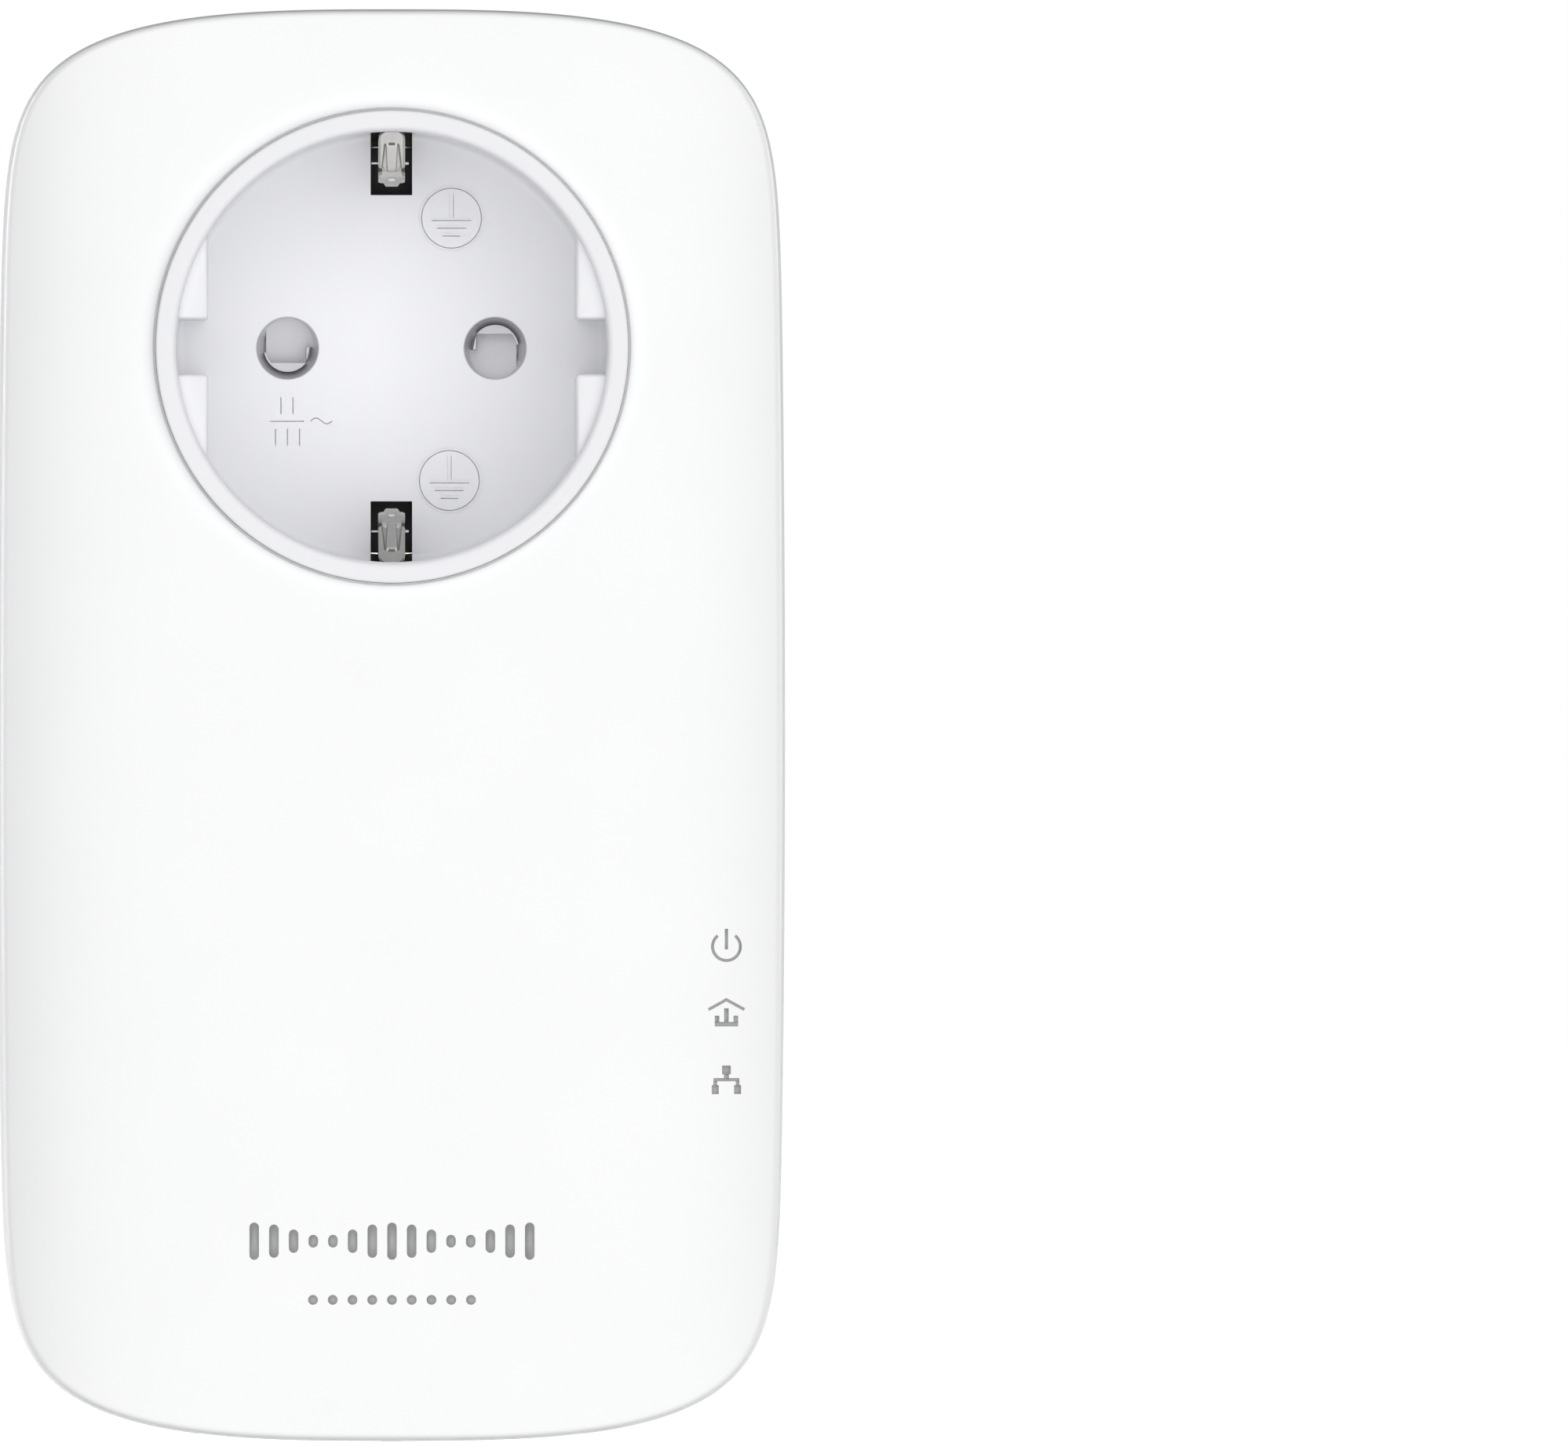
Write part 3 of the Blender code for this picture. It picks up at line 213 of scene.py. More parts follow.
def loft(name, rings, wrap=False):
    """Closed body through rings of equal length; wrap joins last to first, else both ends are filled."""
    size = len(rings[0])
    points = np.concatenate([np.asarray(ring, float) for ring in rings])
    faces = []
    pairs = list(zip(range(len(rings)), range(1, len(rings))))
    if wrap:
        pairs.append((len(rings) - 1, 0))
    for a, b in pairs:
        for i in range(size):
            j = (i + 1) % size
            faces.append((a * size + i, b * size + i, b * size + j, a * size + j))
    if not wrap:
        faces.append(tuple(range(size))[::-1])
        faces.append(tuple((len(rings) - 1) * size + i for i in range(size)))
    return mesh_of(name, points, faces)


AXES = {"X": (1, 2, 0), "Y": (0, 2, 1), "Z": (0, 1, 2)}


def lathe(profile, steps=96, axis="Y", centre=(0, 0), closed=True):
    """Body turned about an axis from (radius, height) points; an end at radius 0 becomes a flat cap."""
    first, second, along_axis = AXES[axis]
    turns = np.linspace(0, 2 * math.pi, steps, endpoint=False)
    rings = []
    for radius, height in profile:
        if radius > 1e-9:
            ring = np.zeros((steps, 3))
            ring[:, first] = centre[0] + radius * np.cos(turns)
            ring[:, second] = centre[1] + radius * np.sin(turns)
            ring[:, along_axis] = height
            rings.append(ring)
    return loft("lathe", rings, wrap=closed)


def block(xs, ys, zs, bevel=0.0, segments=3):
    """Box with rounded edges."""
    bm = bmesh.new()
    low = Vector([min(pair) for pair in (xs, ys, zs)])
    high = Vector([max(pair) for pair in (xs, ys, zs)])
    place = Matrix.Translation((low + high) / 2) @ Matrix.Diagonal((*(high - low), 1))
    bmesh.ops.create_cube(bm, size=1, matrix=place)
    if bevel:
        bmesh.ops.bevel(bm, geom=bm.edges, offset=bevel, segments=segments, profile=0.5, affect="EDGES")
    bmesh.ops.scale(bm, vec=(MM, MM, MM), verts=bm.verts)
    mesh = bpy.data.meshes.new("block")
    bm.to_mesh(mesh)
    bm.free()
    return mesh


def prism(outline, low, high, axis="Y", bevel=0.0, segments=3):
    """Flat outline with straight sides along an axis; the outline is in the two other coordinates."""
    first, second, third = AXES[axis]
    points = []
    for height in (low, high):
        for a, b in outline:
            spot = [0.0, 0.0, 0.0]
            spot[first], spot[second], spot[third] = a, b, height
            points.append(spot)
    size = len(outline)
    faces = [tuple(range(size))[::-1], tuple(range(size, 2 * size))]
    faces += [(i, (i + 1) % size, size + (i + 1) % size, size + i) for i in range(size)]
    mesh = mesh_of("prism", points, faces)
    if bevel:
        bm = bmesh.new()
        bm.from_mesh(mesh)
        rims = [e for e in bm.edges if abs(e.verts[0].co[third] - e.verts[1].co[third]) < 1e-9]
        bmesh.ops.bevel(bm, geom=rims, offset=bevel * MM, segments=segments, profile=0.5, affect="EDGES")
        bm.to_mesh(mesh)
        bm.free()
    return mesh


def soften_rim(mesh, axis, place, radius):
    """Rounds the edges that lie across an axis (0, 1 or 2 for X, Y or Z) at one place."""
    bm = bmesh.new()
    bm.from_mesh(mesh)
    rims = [e for e in bm.edges if all(abs(v.co[axis] - place * MM) < 1e-7 for v in e.verts)]
    bmesh.ops.bevel(bm, geom=rims, offset=radius * MM, segments=5, profile=0.5, affect="EDGES")
    bmesh.ops.recalc_face_normals(bm, faces=bm.faces)
    bm.to_mesh(mesh)
    bm.free()
    return mesh


def rod(radius, ys, steps, place):
    """Solid round bar along Y."""
    return lathe([(radius, ys[0]), (radius, ys[1])], steps, "Y", place, False)


def merged(meshes):
    """One mesh that holds all of these as separate shells."""
    bm = bmesh.new()
    for mesh in meshes:
        bm.from_mesh(mesh)
        bpy.data.meshes.remove(mesh)
    mesh = bpy.data.meshes.new("merged")
    bm.to_mesh(mesh)
    bm.free()
    return mesh


def boolean(mesh, other, operation="DIFFERENCE"):
    """Mesh after a Boolean with another; both are used up."""
    base = bpy.data.objects.new("base", mesh)
    tool = bpy.data.objects.new("tool", other)
    for obj in (base, tool):
        bpy.context.scene.collection.objects.link(obj)
    modifier = base.modifiers.new("cut", "BOOLEAN")
    modifier.operation = operation
    modifier.solver = "MANIFOLD"
    modifier.object = tool
    bpy.context.view_layer.update()
    graph = bpy.context.evaluated_depsgraph_get()
    made = bpy.data.meshes.new_from_object(base.evaluated_get(graph))
    for obj in (base, tool):
        bpy.data.objects.remove(obj)
    for used in (mesh, other):
        bpy.data.meshes.remove(used)
    return made


def arc(centre, radius, start, end, steps):
    """Points along an arc, angles in degrees."""
    angles = np.radians(np.linspace(start, end, steps + 1))
    return [(centre[0] + radius * math.cos(a), centre[1] + radius * math.sin(a)) for a in angles]


def slot_outline(length, width, centre=(0, 0), steps=10, upright=True):
    """Outline of a slot with round ends."""
    reach = (length - width) / 2
    points = arc((reach, 0), width / 2, -90, 90, steps) + arc((-reach, 0), width / 2, 90, 270, steps)
    if upright:
        points = [(-b, a) for a, b in points]
    return [(a + centre[0], b + centre[1]) for a, b in points]


def softened(path, rounds=3):
    """Open polyline with its corners cut to a smooth curve."""
    path = np.asarray(path, float)
    for _ in range(rounds):
        quarter = path[:-1] * 0.75 + path[1:] * 0.25
        three = path[:-1] * 0.25 + path[1:] * 0.75
        inner = np.stack([quarter, three], 1).reshape(-1, path.shape[1])
        path = np.concatenate([path[:1], inner[1:-1], path[-1:]])
    return path


def along(path, steps):
    """Points spaced evenly along a polyline."""
    path = np.asarray(path, float)
    length = np.concatenate([[0], np.cumsum(np.linalg.norm(np.diff(path, axis=0), axis=1))])
    wanted = np.linspace(0, length[-1], steps)
    return np.stack([np.interp(wanted, length, path[:, k]) for k in range(path.shape[1])], 1)


def tube(path, radius, sides=10):
    """Round wire along a path in the Y-Z plane at one X."""
    path = np.asarray(path, float)
    forward = np.gradient(path, axis=0)
    forward /= np.linalg.norm(forward, axis=1)[:, None]
    across = np.array([1.0, 0.0, 0.0])
    up = np.cross(across, forward)
    turns = np.linspace(0, 2 * math.pi, sides, endpoint=False)
    rings = []
    for spot, lift in zip(path, up):
        rings.append([spot + radius * (math.cos(t) * across + math.sin(t) * lift) for t in turns])
    return loft("tube", rings)


def ramp(value, low, high):
    """Smooth step from 0 at low to 1 at high."""
    share = np.clip((value - low) / (high - low), 0, 1)
    return share * share * (3 - 2 * share)


# ---------------------------------------------------------------- materials


def node(tree, kind, values=(), **settings):
    made = tree.nodes.new(kind)
    for key, value in settings.items():
        setattr(made, key, value)
    for key, value in dict(values).items():
        made.inputs[key].default_value = value
    return made


def surface_base(name, roughness, metallic, coat, transmission, ior):
    found = bpy.data.materials.new(name)
    found.use_nodes = True
    tree = found.node_tree
    shader = tree.nodes["Principled BSDF"]
    shader.inputs["Roughness"].default_value = roughness
    shader.inputs["Metallic"].default_value = metallic
    shader.inputs["Coat Weight"].default_value = coat
    shader.inputs["Transmission Weight"].default_value = transmission
    shader.inputs["IOR"].default_value = ior
    return found, tree, shader


def surface(
    name,
    colour,
    roughness,
    metallic=0.0,
    mottle=0.02,
    mottle_size=12.0,
    grain=0.25,
    height=0.002,
    rough_swing=0.05,
    stretch=(1, 1, 1),
    coat=0.0,
    transmission=0.0,
    ior=1.5,
    specks=None,
):
    """Moulded, cast or rolled surface: colour drift, fine grain in relief, uneven gloss, optional specks."""
    found, tree, shader = surface_base(name, roughness, metallic, coat, transmission, ior)
    link = tree.links.new
    place = node(tree, "ShaderNodeTexCoord")
    mapping = node(tree, "ShaderNodeMapping", {"Scale": stretch})
    link(place.outputs["Object"], mapping.inputs["Vector"])
    slow = {"Scale": 1 / (mottle_size * MM), "Detail": 3.0, "Roughness": 0.5}
    drift = node(tree, "ShaderNodeTexNoise", slow)
    link(mapping.outputs["Vector"], drift.inputs["Vector"])
    tint = node(tree, "ShaderNodeValToRGB")
    tint.color_ramp.elements[0].position = 0.3
    tint.color_ramp.elements[1].position = 0.7
    tint.color_ramp.elements[0].color = (*[max(c * (1 - mottle), 0) for c in colour], 1)
    tint.color_ramp.elements[1].color = (*[min(c * (1 + mottle), 0.98) for c in colour], 1)
    link(drift.outputs["Fac"], tint.inputs["Fac"])
    base = tint.outputs["Color"]
    if specks:
        speck_size, speck_colour, share = specks
        cells = node(tree, "ShaderNodeTexVoronoi", {"Scale": 1 / (speck_size * MM)})
        link(mapping.outputs["Vector"], cells.inputs["Vector"])
        chosen = node(tree, "ShaderNodeMath", {1: share}, operation="LESS_THAN")
        link(cells.outputs["Distance"], chosen.inputs[0])
        mix = node(tree, "ShaderNodeMix", data_type="RGBA")
        mix.inputs["B"].default_value = (*speck_colour, 1)
        link(chosen.outputs[0], mix.inputs["Factor"])
        link(base, mix.inputs["A"])
        base = mix.outputs["Result"]
    link(base, shader.inputs["Base Color"])
    texture = node(tree, "ShaderNodeTexNoise", {"Scale": 1 / (grain * MM), "Detail": 4.0, "Roughness": 0.55})
    link(mapping.outputs["Vector"], texture.inputs["Vector"])
    bump = node(tree, "ShaderNodeBump", {"Strength": 1.0, "Distance": height * MM})
    link(texture.outputs["Fac"], bump.inputs["Height"])
    link(bump.outputs["Normal"], shader.inputs["Normal"])
    gloss = node(tree, "ShaderNodeTexNoise", {"Scale": 1 / (mottle_size * 0.4 * MM), "Detail": 5.0})
    link(mapping.outputs["Vector"], gloss.inputs["Vector"])
    smooth, rough = max(roughness - rough_swing, 0.02), roughness + rough_swing
    reach = {"From Min": 0.3, "From Max": 0.7, "To Min": smooth, "To Max": rough}
    swing = node(tree, "ShaderNodeMapRange", reach)
    link(gloss.outputs["Fac"], swing.inputs["Value"])
    link(swing.outputs["Result"], shader.inputs["Roughness"])
    return found


def circuit_board(name):
    """Green solder mask over a net of fine tracks, with tinned dots where leads come through."""
    found, tree, shader = surface_base(name, 0.35, 0.0, 0.3, 0.0, 1.5)
    link = tree.links.new
    place = node(tree, "ShaderNodeTexCoord")
    cells = node(tree, "ShaderNodeTexVoronoi", {"Scale": 1 / (4.2 * MM)}, distance="CHEBYCHEV", feature="F1")
    link(place.outputs["Object"], cells.inputs["Vector"])
    near = node(tree, "ShaderNodeTexVoronoi", {"Scale": 1 / (4.2 * MM)}, distance="CHEBYCHEV", feature="F2")
    link(place.outputs["Object"], near.inputs["Vector"])
    gap = node(tree, "ShaderNodeMath", operation="SUBTRACT")
    link(near.outputs["Distance"], gap.inputs[0])
    link(cells.outputs["Distance"], gap.inputs[1])
    wave = node(tree, "ShaderNodeMath", {1: 0.09}, operation="PINGPONG")
    link(gap.outputs[0], wave.inputs[0])
    tracks = node(tree, "ShaderNodeMath", {1: 0.05}, operation="LESS_THAN")
    link(wave.outputs[0], tracks.inputs[0])
    mask = node(tree, "ShaderNodeMix", data_type="RGBA")
    mask.inputs["A"].default_value = (0.012, 0.10, 0.045, 1)
    mask.inputs["B"].default_value = (0.03, 0.20, 0.09, 1)
    link(tracks.outputs[0], mask.inputs["Factor"])
    dots = node(tree, "ShaderNodeTexVoronoi", {"Scale": 1 / (2.6 * MM)})
    link(place.outputs["Object"], dots.inputs["Vector"])
    dotted = node(tree, "ShaderNodeMath", {1: 0.14}, operation="LESS_THAN")
    link(dots.outputs["Distance"], dotted.inputs[0])
    paint = node(tree, "ShaderNodeMix", data_type="RGBA")
    paint.inputs["B"].default_value = (0.62, 0.62, 0.58, 1)
    link(dotted.outputs[0], paint.inputs["Factor"])
    link(mask.outputs["Result"], paint.inputs["A"])
    link(paint.outputs["Result"], shader.inputs["Base Color"])
    bump = node(tree, "ShaderNodeBump", {"Strength": 1.0, "Distance": 0.02 * MM})
    link(tracks.outputs[0], bump.inputs["Height"])
    link(bump.outputs["Normal"], shader.inputs["Normal"])
    return found


PAINTS = {
    "white_plastic": surface("white_plastic", (0.925, 0.93, 0.93), 0.42, mottle=0.006, height=0.0012),
    # socket_white is a darker, slightly bluer copy of white_plastic for the socket insert: painted shade that
    # stands in for the shade deep in the recess.
    "socket_white": surface("socket_white", (0.838, 0.841, 0.862), 0.42, mottle=0.006, height=0.0012),
    "housing_white": surface(
        "housing_white", (0.80, 0.80, 0.82), 0.46, mottle=0.012, grain=0.35, height=0.006
    ),
    # shutter_white is a grey darkened to stand in for the shade inside the pin holes, where the shutter
    # shows: painted shade over the plastic's own colour.
    "shutter_white": surface("shutter_white", (0.64, 0.635, 0.66), 0.45, mottle=0.012, height=0.002),
    "plug_white": surface("plug_white", (0.82, 0.82, 0.83), 0.45, mottle=0.012, grain=0.3, height=0.004),
    "clear_plastic": surface(
        "clear_plastic", (0.86, 0.88, 0.89), 0.22, mottle=0.02, height=0.002, transmission=0.35, ior=1.49
    ),
    "spring_steel": surface(
        "spring_steel", (0.60, 0.59, 0.57), 0.28, 1.0, 0.05, 3.0, grain=0.4, height=0.004, stretch=(1, 1, 6)
    ),
    "nickel": surface(
        "nickel", (0.62, 0.615, 0.60), 0.28, 1.0, 0.05, 4.0, grain=0.5, height=0.003, stretch=(6, 1, 1)
    ),
    # clip_nickel is a darker, duller copy of nickel for the socket's earth clips: painted shade that stands
    # in for the dim reflections they show inside the socket.
    "clip_nickel": surface(
        "clip_nickel", (0.50, 0.495, 0.485), 0.46, 0.70, 0.03, 3.0, grain=0.3, height=0.0006,
        stretch=(4, 1, 1),
    ),
    "brass": surface(
        "brass", (0.78, 0.58, 0.26), 0.30, 1.0, 0.10, 3.0, grain=0.4, height=0.004, stretch=(1, 1, 5)
    ),
    "board_green": circuit_board("board_green"),
    "black_plastic": surface(
        "black_plastic", (0.018, 0.018, 0.020), 0.50, mottle=0.2, mottle_size=4.0, grain=0.2, height=0.006
    ),
    "tinned_steel": surface(
        "tinned_steel", (0.70, 0.71, 0.72), 0.30, 1.0, 0.06, 3.0, grain=0.6, height=0.004, stretch=(5, 1, 1)
    ),
    "aluminium": surface(
        "aluminium", (0.76, 0.77, 0.78), 0.38, 1.0, 0.04, 3.0, grain=0.3, height=0.006, stretch=(1, 1, 8)
    ),
    "pad_blue": surface(
        "pad_blue", (0.22, 0.36, 0.55), 0.85, mottle=0.12, mottle_size=1.5, grain=0.15, height=0.02
    ),
    "ferrite": surface(
        "ferrite", (0.06, 0.06, 0.065), 0.55, mottle=0.2, mottle_size=2.0, grain=0.2, height=0.01,
        specks=(0.5, (0.16, 0.16, 0.17), 0.25),
    ),
    "capacitor_sleeve": surface(
        "capacitor_sleeve", (0.02, 0.025, 0.05), 0.30, mottle=0.2, mottle_size=3.0, grain=0.5, height=0.006,
        coat=0.3,
    ),
    "film_yellow": surface(
        "film_yellow", (0.78, 0.60, 0.08), 0.42, mottle=0.05, mottle_size=3.0, grain=0.4, height=0.008
    ),
    "ceramic_blue": surface(
        "ceramic_blue", (0.05, 0.16, 0.45), 0.35, mottle=0.08, mottle_size=2.0, grain=0.5, height=0.01,
        coat=0.5,
    ),
    "fuse_glass": surface(
        "fuse_glass", (0.78, 0.80, 0.79), 0.10, mottle=0.05, height=0.001, transmission=0.6, ior=1.5
    ),
}
INK = surface("mark_ink", (0.36, 0.36, 0.365), 0.55, mottle=0.05, mottle_size=1.2, grain=0.08, height=0.004)
FLOOR_PAINT = surface("floor_paint", (0.93, 0.93, 0.93), 0.7, 0.0, 0.005, 60, grain=2.0, height=0.01)
FLOOR_SHADER = FLOOR_PAINT.node_tree.nodes["Principled BSDF"]
FLOOR_SHADER.inputs["Emission Color"].default_value = (1, 1, 1, 1)
FLOOR_SHADER.inputs["Emission Strength"].default_value = 0.98


def piece(name, mesh, paint, body, stands_for=(), sharp=32, shaded_paint=None):
    """Mesh as a piece that rides on a body and may stand for CAD nodes; the last argument, where given, names
    a darker copy of a paint that takes the slot instead and stands in for shade (painted shade).
    """
    mesh.name = name
    obj = bpy.data.objects.new(name, mesh)
    bpy.context.scene.collection.objects.link(obj)
    mesh.materials.clear()
    if paint in PAINTS:
        mesh.materials.append(PAINTS[shaded_paint or paint])
    else:
        mesh.materials.append(INK)
    mesh.shade_smooth()
    mesh.set_sharp_from_angle(angle=math.radians(sharp))
    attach(obj, body)
    if stands_for:
        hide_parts(*stands_for)
    return obj


# ---------------------------------------------------------------- body outline


def outline_points():
    """Outline points spaced by length and bend, with outward directions, z from the body's middle."""
    turn = np.linspace(0, 1, 4001) ** 6 * math.pi / 2
    share = np.sin(turn) ** (2 / TOP_POWER)
    x = SIDE_HALF * np.cos(turn) ** (2 / CORNER_POWER) + SIDE_BULGE * (1 - share**2)
    z = HALF_HEIGHT * share
    x[-1] = 0.0
    dx, dz = np.gradient(x), np.gradient(z)
    length = np.concatenate([[0], np.cumsum(np.hypot(np.diff(x), np.diff(z)))])
    bend = np.unwrap(np.arctan2(dz, dx))
    bend = np.maximum.accumulate(bend - bend[0])
    measure = 2.0 * length / length[-1] + 1.0 * bend / bend[-1]
    wanted = np.linspace(0, measure[-1], RAYS // 4 + 1)
    px = np.interp(wanted, measure, x)
    pz = np.interp(wanted, measure, z)
    angle = np.interp(wanted, measure, np.arctan2(-dx, dz))
    angle[0], angle[-1] = 0.0, math.pi / 2
    quarter = list(zip(px, pz, angle))
    half = quarter + [(-a, b, math.pi - c) for a, b, c in reversed(quarter[:-1])]
    whole = half + [(a, -b, -c) for a, b, c in reversed(half[1:-1])]
    return np.array([(a, b, math.cos(c), math.sin(c)) for a, b, c in whole])


OUTLINE = outline_points()


def outline(inset=0.0):
    """(x, z) of the outline moved inwards, in the part's frame."""
    moved = OUTLINE[:, :2] - inset * OUTLINE[:, 2:]
    return moved + [0, BODY_MIDDLE_Z]


def circle_towards(radius):
    """Circle about the socket's axis with one point towards each outline point."""
    spots = outline()
    return spots / np.linalg.norm(spots, axis=1)[:, None] * radius


def cover_depth(x, z):
    """Y of the cover's outer face at a place of the part's frame."""
    dome = DOME_DEPTH * (np.abs(x) / (SIDE_HALF + SIDE_BULGE)) ** DOME_POWER
    crown = CROWN_DEPTH * (np.abs(z - BODY_MIDDLE_Z) / HALF_HEIGHT) ** CROWN_POWER
    return COVER_Y + dome + crown


def ring_at(spots, y):
    """3-D ring from (x, z) spots; y is one depth or one for each spot."""
    spots = np.asarray(spots)
    depth = np.broadcast_to(y, len(spots))
    return np.stack([spots[:, 0], depth, spots[:, 1]], 1)


def spread(inner, outer, shares, depth):
    """Rings between two outlines, each at the depth that its places have."""
    rings = []
    for share in shares:
        spots = inner * (1 - share) + outer * share
        rings.append(ring_at(spots, depth(spots[:, 0], spots[:, 1])))
    return rings


# ---------------------------------------------------------------- housing


def jack_cutters(margin, bevel):
    low, high = span("lan_jack_left")
    reach = (high[0] - low[0]) / 2 + margin
    ys = (low[1] - margin, high[1] + margin)
    return [block(about(x, reach), ys, (-104, -90), bevel) for x in (-JACK_X, JACK_X)]


def cover_cutters():
    """Windows in the right side, pinhole and jack openings in the lower end."""
    tools = jack_cutters(0.35, 0.5)
    for z in LIGHT_ZS:
        window = slot_outline(3.0, 1.5, (SIDE_FEATURE_Y, z))
        tools.append(prism(window, 33, 40, "X"))
    tools.append(prism(slot_outline(8.4, 4.0, (SIDE_FEATURE_Y, PAIR_Z), 16), 33, 40, "X"))
    pinhole = [(1.9, -104), (0.8, -99.7), (0.8, -92)]
    tools.append(lathe(pinhole, 32, "Z", (RESET_X, SIDE_FEATURE_Y), False))
    return merged(tools)


def cover_face(x, z):
    """Cover's depth with the soft dip that runs round the socket's ring."""
    share = np.clip((np.hypot(x, z) - RIM_R - RIM_GAP) / DIP_WIDTH, 0, 1)
    return cover_depth(x, z) + DIP_DEPTH * (1 - share) ** 2


def make_front_cover():
    edge = outline(FRONT_INSET + FRONT_EDGE_R)
    hole = circle_towards(RIM_R + RIM_GAP)
    shares = 1 - (1 - np.linspace(0, 1, 44)) ** 1.6
    ledge = circle_towards(RIM_R + 0.04)
    rings = [ring_at(ledge, cover_depth(*ledge.T) + WALL)]
    rings.append(ring_at(ledge, cover_face(*hole.T) + LEDGE_DEPTH))
    rings.append(ring_at(hole, cover_face(*hole.T) + LEDGE_DEPTH))
    for degrees in (0, 30, 60):
        turn = math.radians(degrees)
        spots = circle_towards(RIM_R + RIM_GAP + LIP_R * (1 - math.cos(turn)))
        rings.append(ring_at(spots, cover_face(*spots.T) + LIP_R * (1 - math.sin(turn))))
    for share in (0, 0.12, 0.25, 0.4, 0.55, 0.7, 0.85):
        spots = circle_towards(RIM_R + RIM_GAP + LIP_R + DIP_WIDTH * share)
        rings.append(ring_at(spots, cover_face(*spots.T)))
    lip = circle_towards(RIM_R + RIM_GAP + LIP_R + DIP_WIDTH)
    rings += spread(lip, edge, shares, cover_depth)
    for degrees in np.linspace(0, 90, 9)[1:]:
        turn = math.radians(degrees)
        spots = outline(FRONT_INSET + FRONT_EDGE_R * (1 - math.sin(turn)))
        rings.append(ring_at(spots, cover_depth(*spots.T) + FRONT_EDGE_R * (1 - math.cos(turn))))
    start = rings[-1][:, 1]
    end = PARTING_Y - SEAM - 0.1
    for share in (0.25, 0.5, 0.75, 1.0):
        spots = outline(FRONT_INSET * (1 - share))
        rings.append(ring_at(spots, start * (1 - share) + end * share))
    rings.append(ring_at(outline(0.1), PARTING_Y - SEAM))
    rings.append(ring_at(outline(WALL), PARTING_Y - SEAM))
    inner_edge = outline(FRONT_INSET + WALL)
    rings.append(ring_at(inner_edge, cover_depth(*inner_edge.T) + WALL))
    rings += spread(hole, inner_edge, shares[1:-1:4][::-1], lambda x, z: cover_depth(x, z) + WALL)
    cover = loft("cover", rings, wrap=True)
    posts = [rod(POST_R, POST_YS, 32, place) for place in SCREW_PLACES]
    cover = boolean(cover, cover_cutters())
    piece("front_cover_fine", merged([cover, *posts]), "white_plastic", "housing", ["front_cover"])


def make_rear_housing():
    hole_r = BOSS_R + 0.35
    tongue = PARTING_Y - SEAM + 0.04
    lip = 0.55
    back_inset = BACK_TAPER + BACK_EDGE_R
    rings = [ring_at(outline(lip), tongue), ring_at(outline(lip), PARTING_Y + SEAM)]
    rings.append(ring_at(outline(0.1), PARTING_Y + SEAM))
    rings.append(ring_at(outline(0.0), PARTING_Y + SEAM + 0.1))
    for share in (0.33, 0.66, 1.0):
        y = (PARTING_Y + SEAM) * (1 - share) + (BACK_Y - BACK_EDGE_R) * share
        rings.append(ring_at(outline(BACK_TAPER * share), y))
    for degrees in np.linspace(0, 90, 13)[1:]:
        turn = math.radians(degrees)
        inset = BACK_TAPER + BACK_EDGE_R * (1 - math.cos(turn))
        rings.append(ring_at(outline(inset), BACK_Y - BACK_EDGE_R * (1 - math.sin(turn))))
    face = outline(back_inset)
    rings += spread(face, circle_towards(hole_r + 0.3), np.linspace(0, 1, 9)[1:], lambda x, z: BACK_Y)
    hole = circle_towards(hole_r)
    rings.append(ring_at(hole, BACK_Y - 0.3))
    rings.append(ring_at(hole, BACK_Y - WALL))
    inner = outline(back_inset + 0.6)
    rings += spread(hole, inner, (0.5, 1.0), lambda x, z: BACK_Y - WALL)
    rings.append(ring_at(outline(BACK_TAPER + WALL), BACK_Y - BACK_EDGE_R - 0.5))
    rings.append(ring_at(outline(WALL), tongue))
    housing = loft("housing", rings, wrap=True)
    for place in SCREW_PLACES:
        housing = boolean(housing, rod(TUBE_R, TUBE_YS, 40, place), "UNION")
    tools = jack_cutters(0.35, 0.5)
    for side in (-1, 1):
        for i in range(VENT_COUNT):
            middle = (VENT_Y, VENT_TOP_Z - VENT_PITCH * i)
            vent = slot_outline(VENT_LENGTH, VENT_WIDTH, middle, 8, upright=False)
            tools.append(prism(vent, *sorted((side * 32, side * 40)), "X"))
    for place in SCREW_PLACES:
        profile = [(1.8, -32), (1.8, -26.5), (3.1, -26.5), (3.1, BACK_Y - 0.4)]
        profile += [(3.5, BACK_Y), (3.6, BACK_Y + 1)]
        tools.append(lathe(profile, 40, "Y", place, False))
    tools.append(rounded_panel(PANEL_XS, PANEL_ZS, PANEL_EDGE_R, BACK_Y - PANEL_DEPTH, BACK_Y + 1))
    housing = boolean(housing, merged(tools))
    piece("rear_housing_fine", housing, "housing_white", "housing", ["rear_housing"])


def rounded_panel(xs, zs, radius, low, high):
    """Prism on a rectangle with rounded corners."""
    left, right = xs[0] + radius, xs[1] - radius
    lower, upper = zs[0] + radius, zs[1] - radius
    centres = [(right, upper), (left, upper), (left, lower), (right, lower)]
    points = []
    for i, centre in enumerate(centres):
        points += arc(centre, radius, 90 * i, 90 * i + 90, 8)
    return prism(points, low, high)


def make_screws():
    for number, place in enumerate(SCREW_PLACES, 1):
        head = arc((1.2, -25.6), 1.5, 90, 0, 8)
        profile = [*head, (2.7, -26.2), (1.35, -26.2), (1.35, -37.4)]
        screw = lathe(profile, 48, "Y", place, False)
        x, z = place
        level = block(about(x, 1.5), (-25.4, -23), about(z, 0.26), 0.05)
        upright = block(about(x, 0.26), (-25.4, -23), about(z, 1.5), 0.05)
        screw = boolean(screw, boolean(level, upright, "UNION"))
        piece(f"housing_screw_fine_{number}", screw, "spring_steel", "housing", [f"housing_screw_{number}"])


# ---------------------------------------------------------------- printed marks


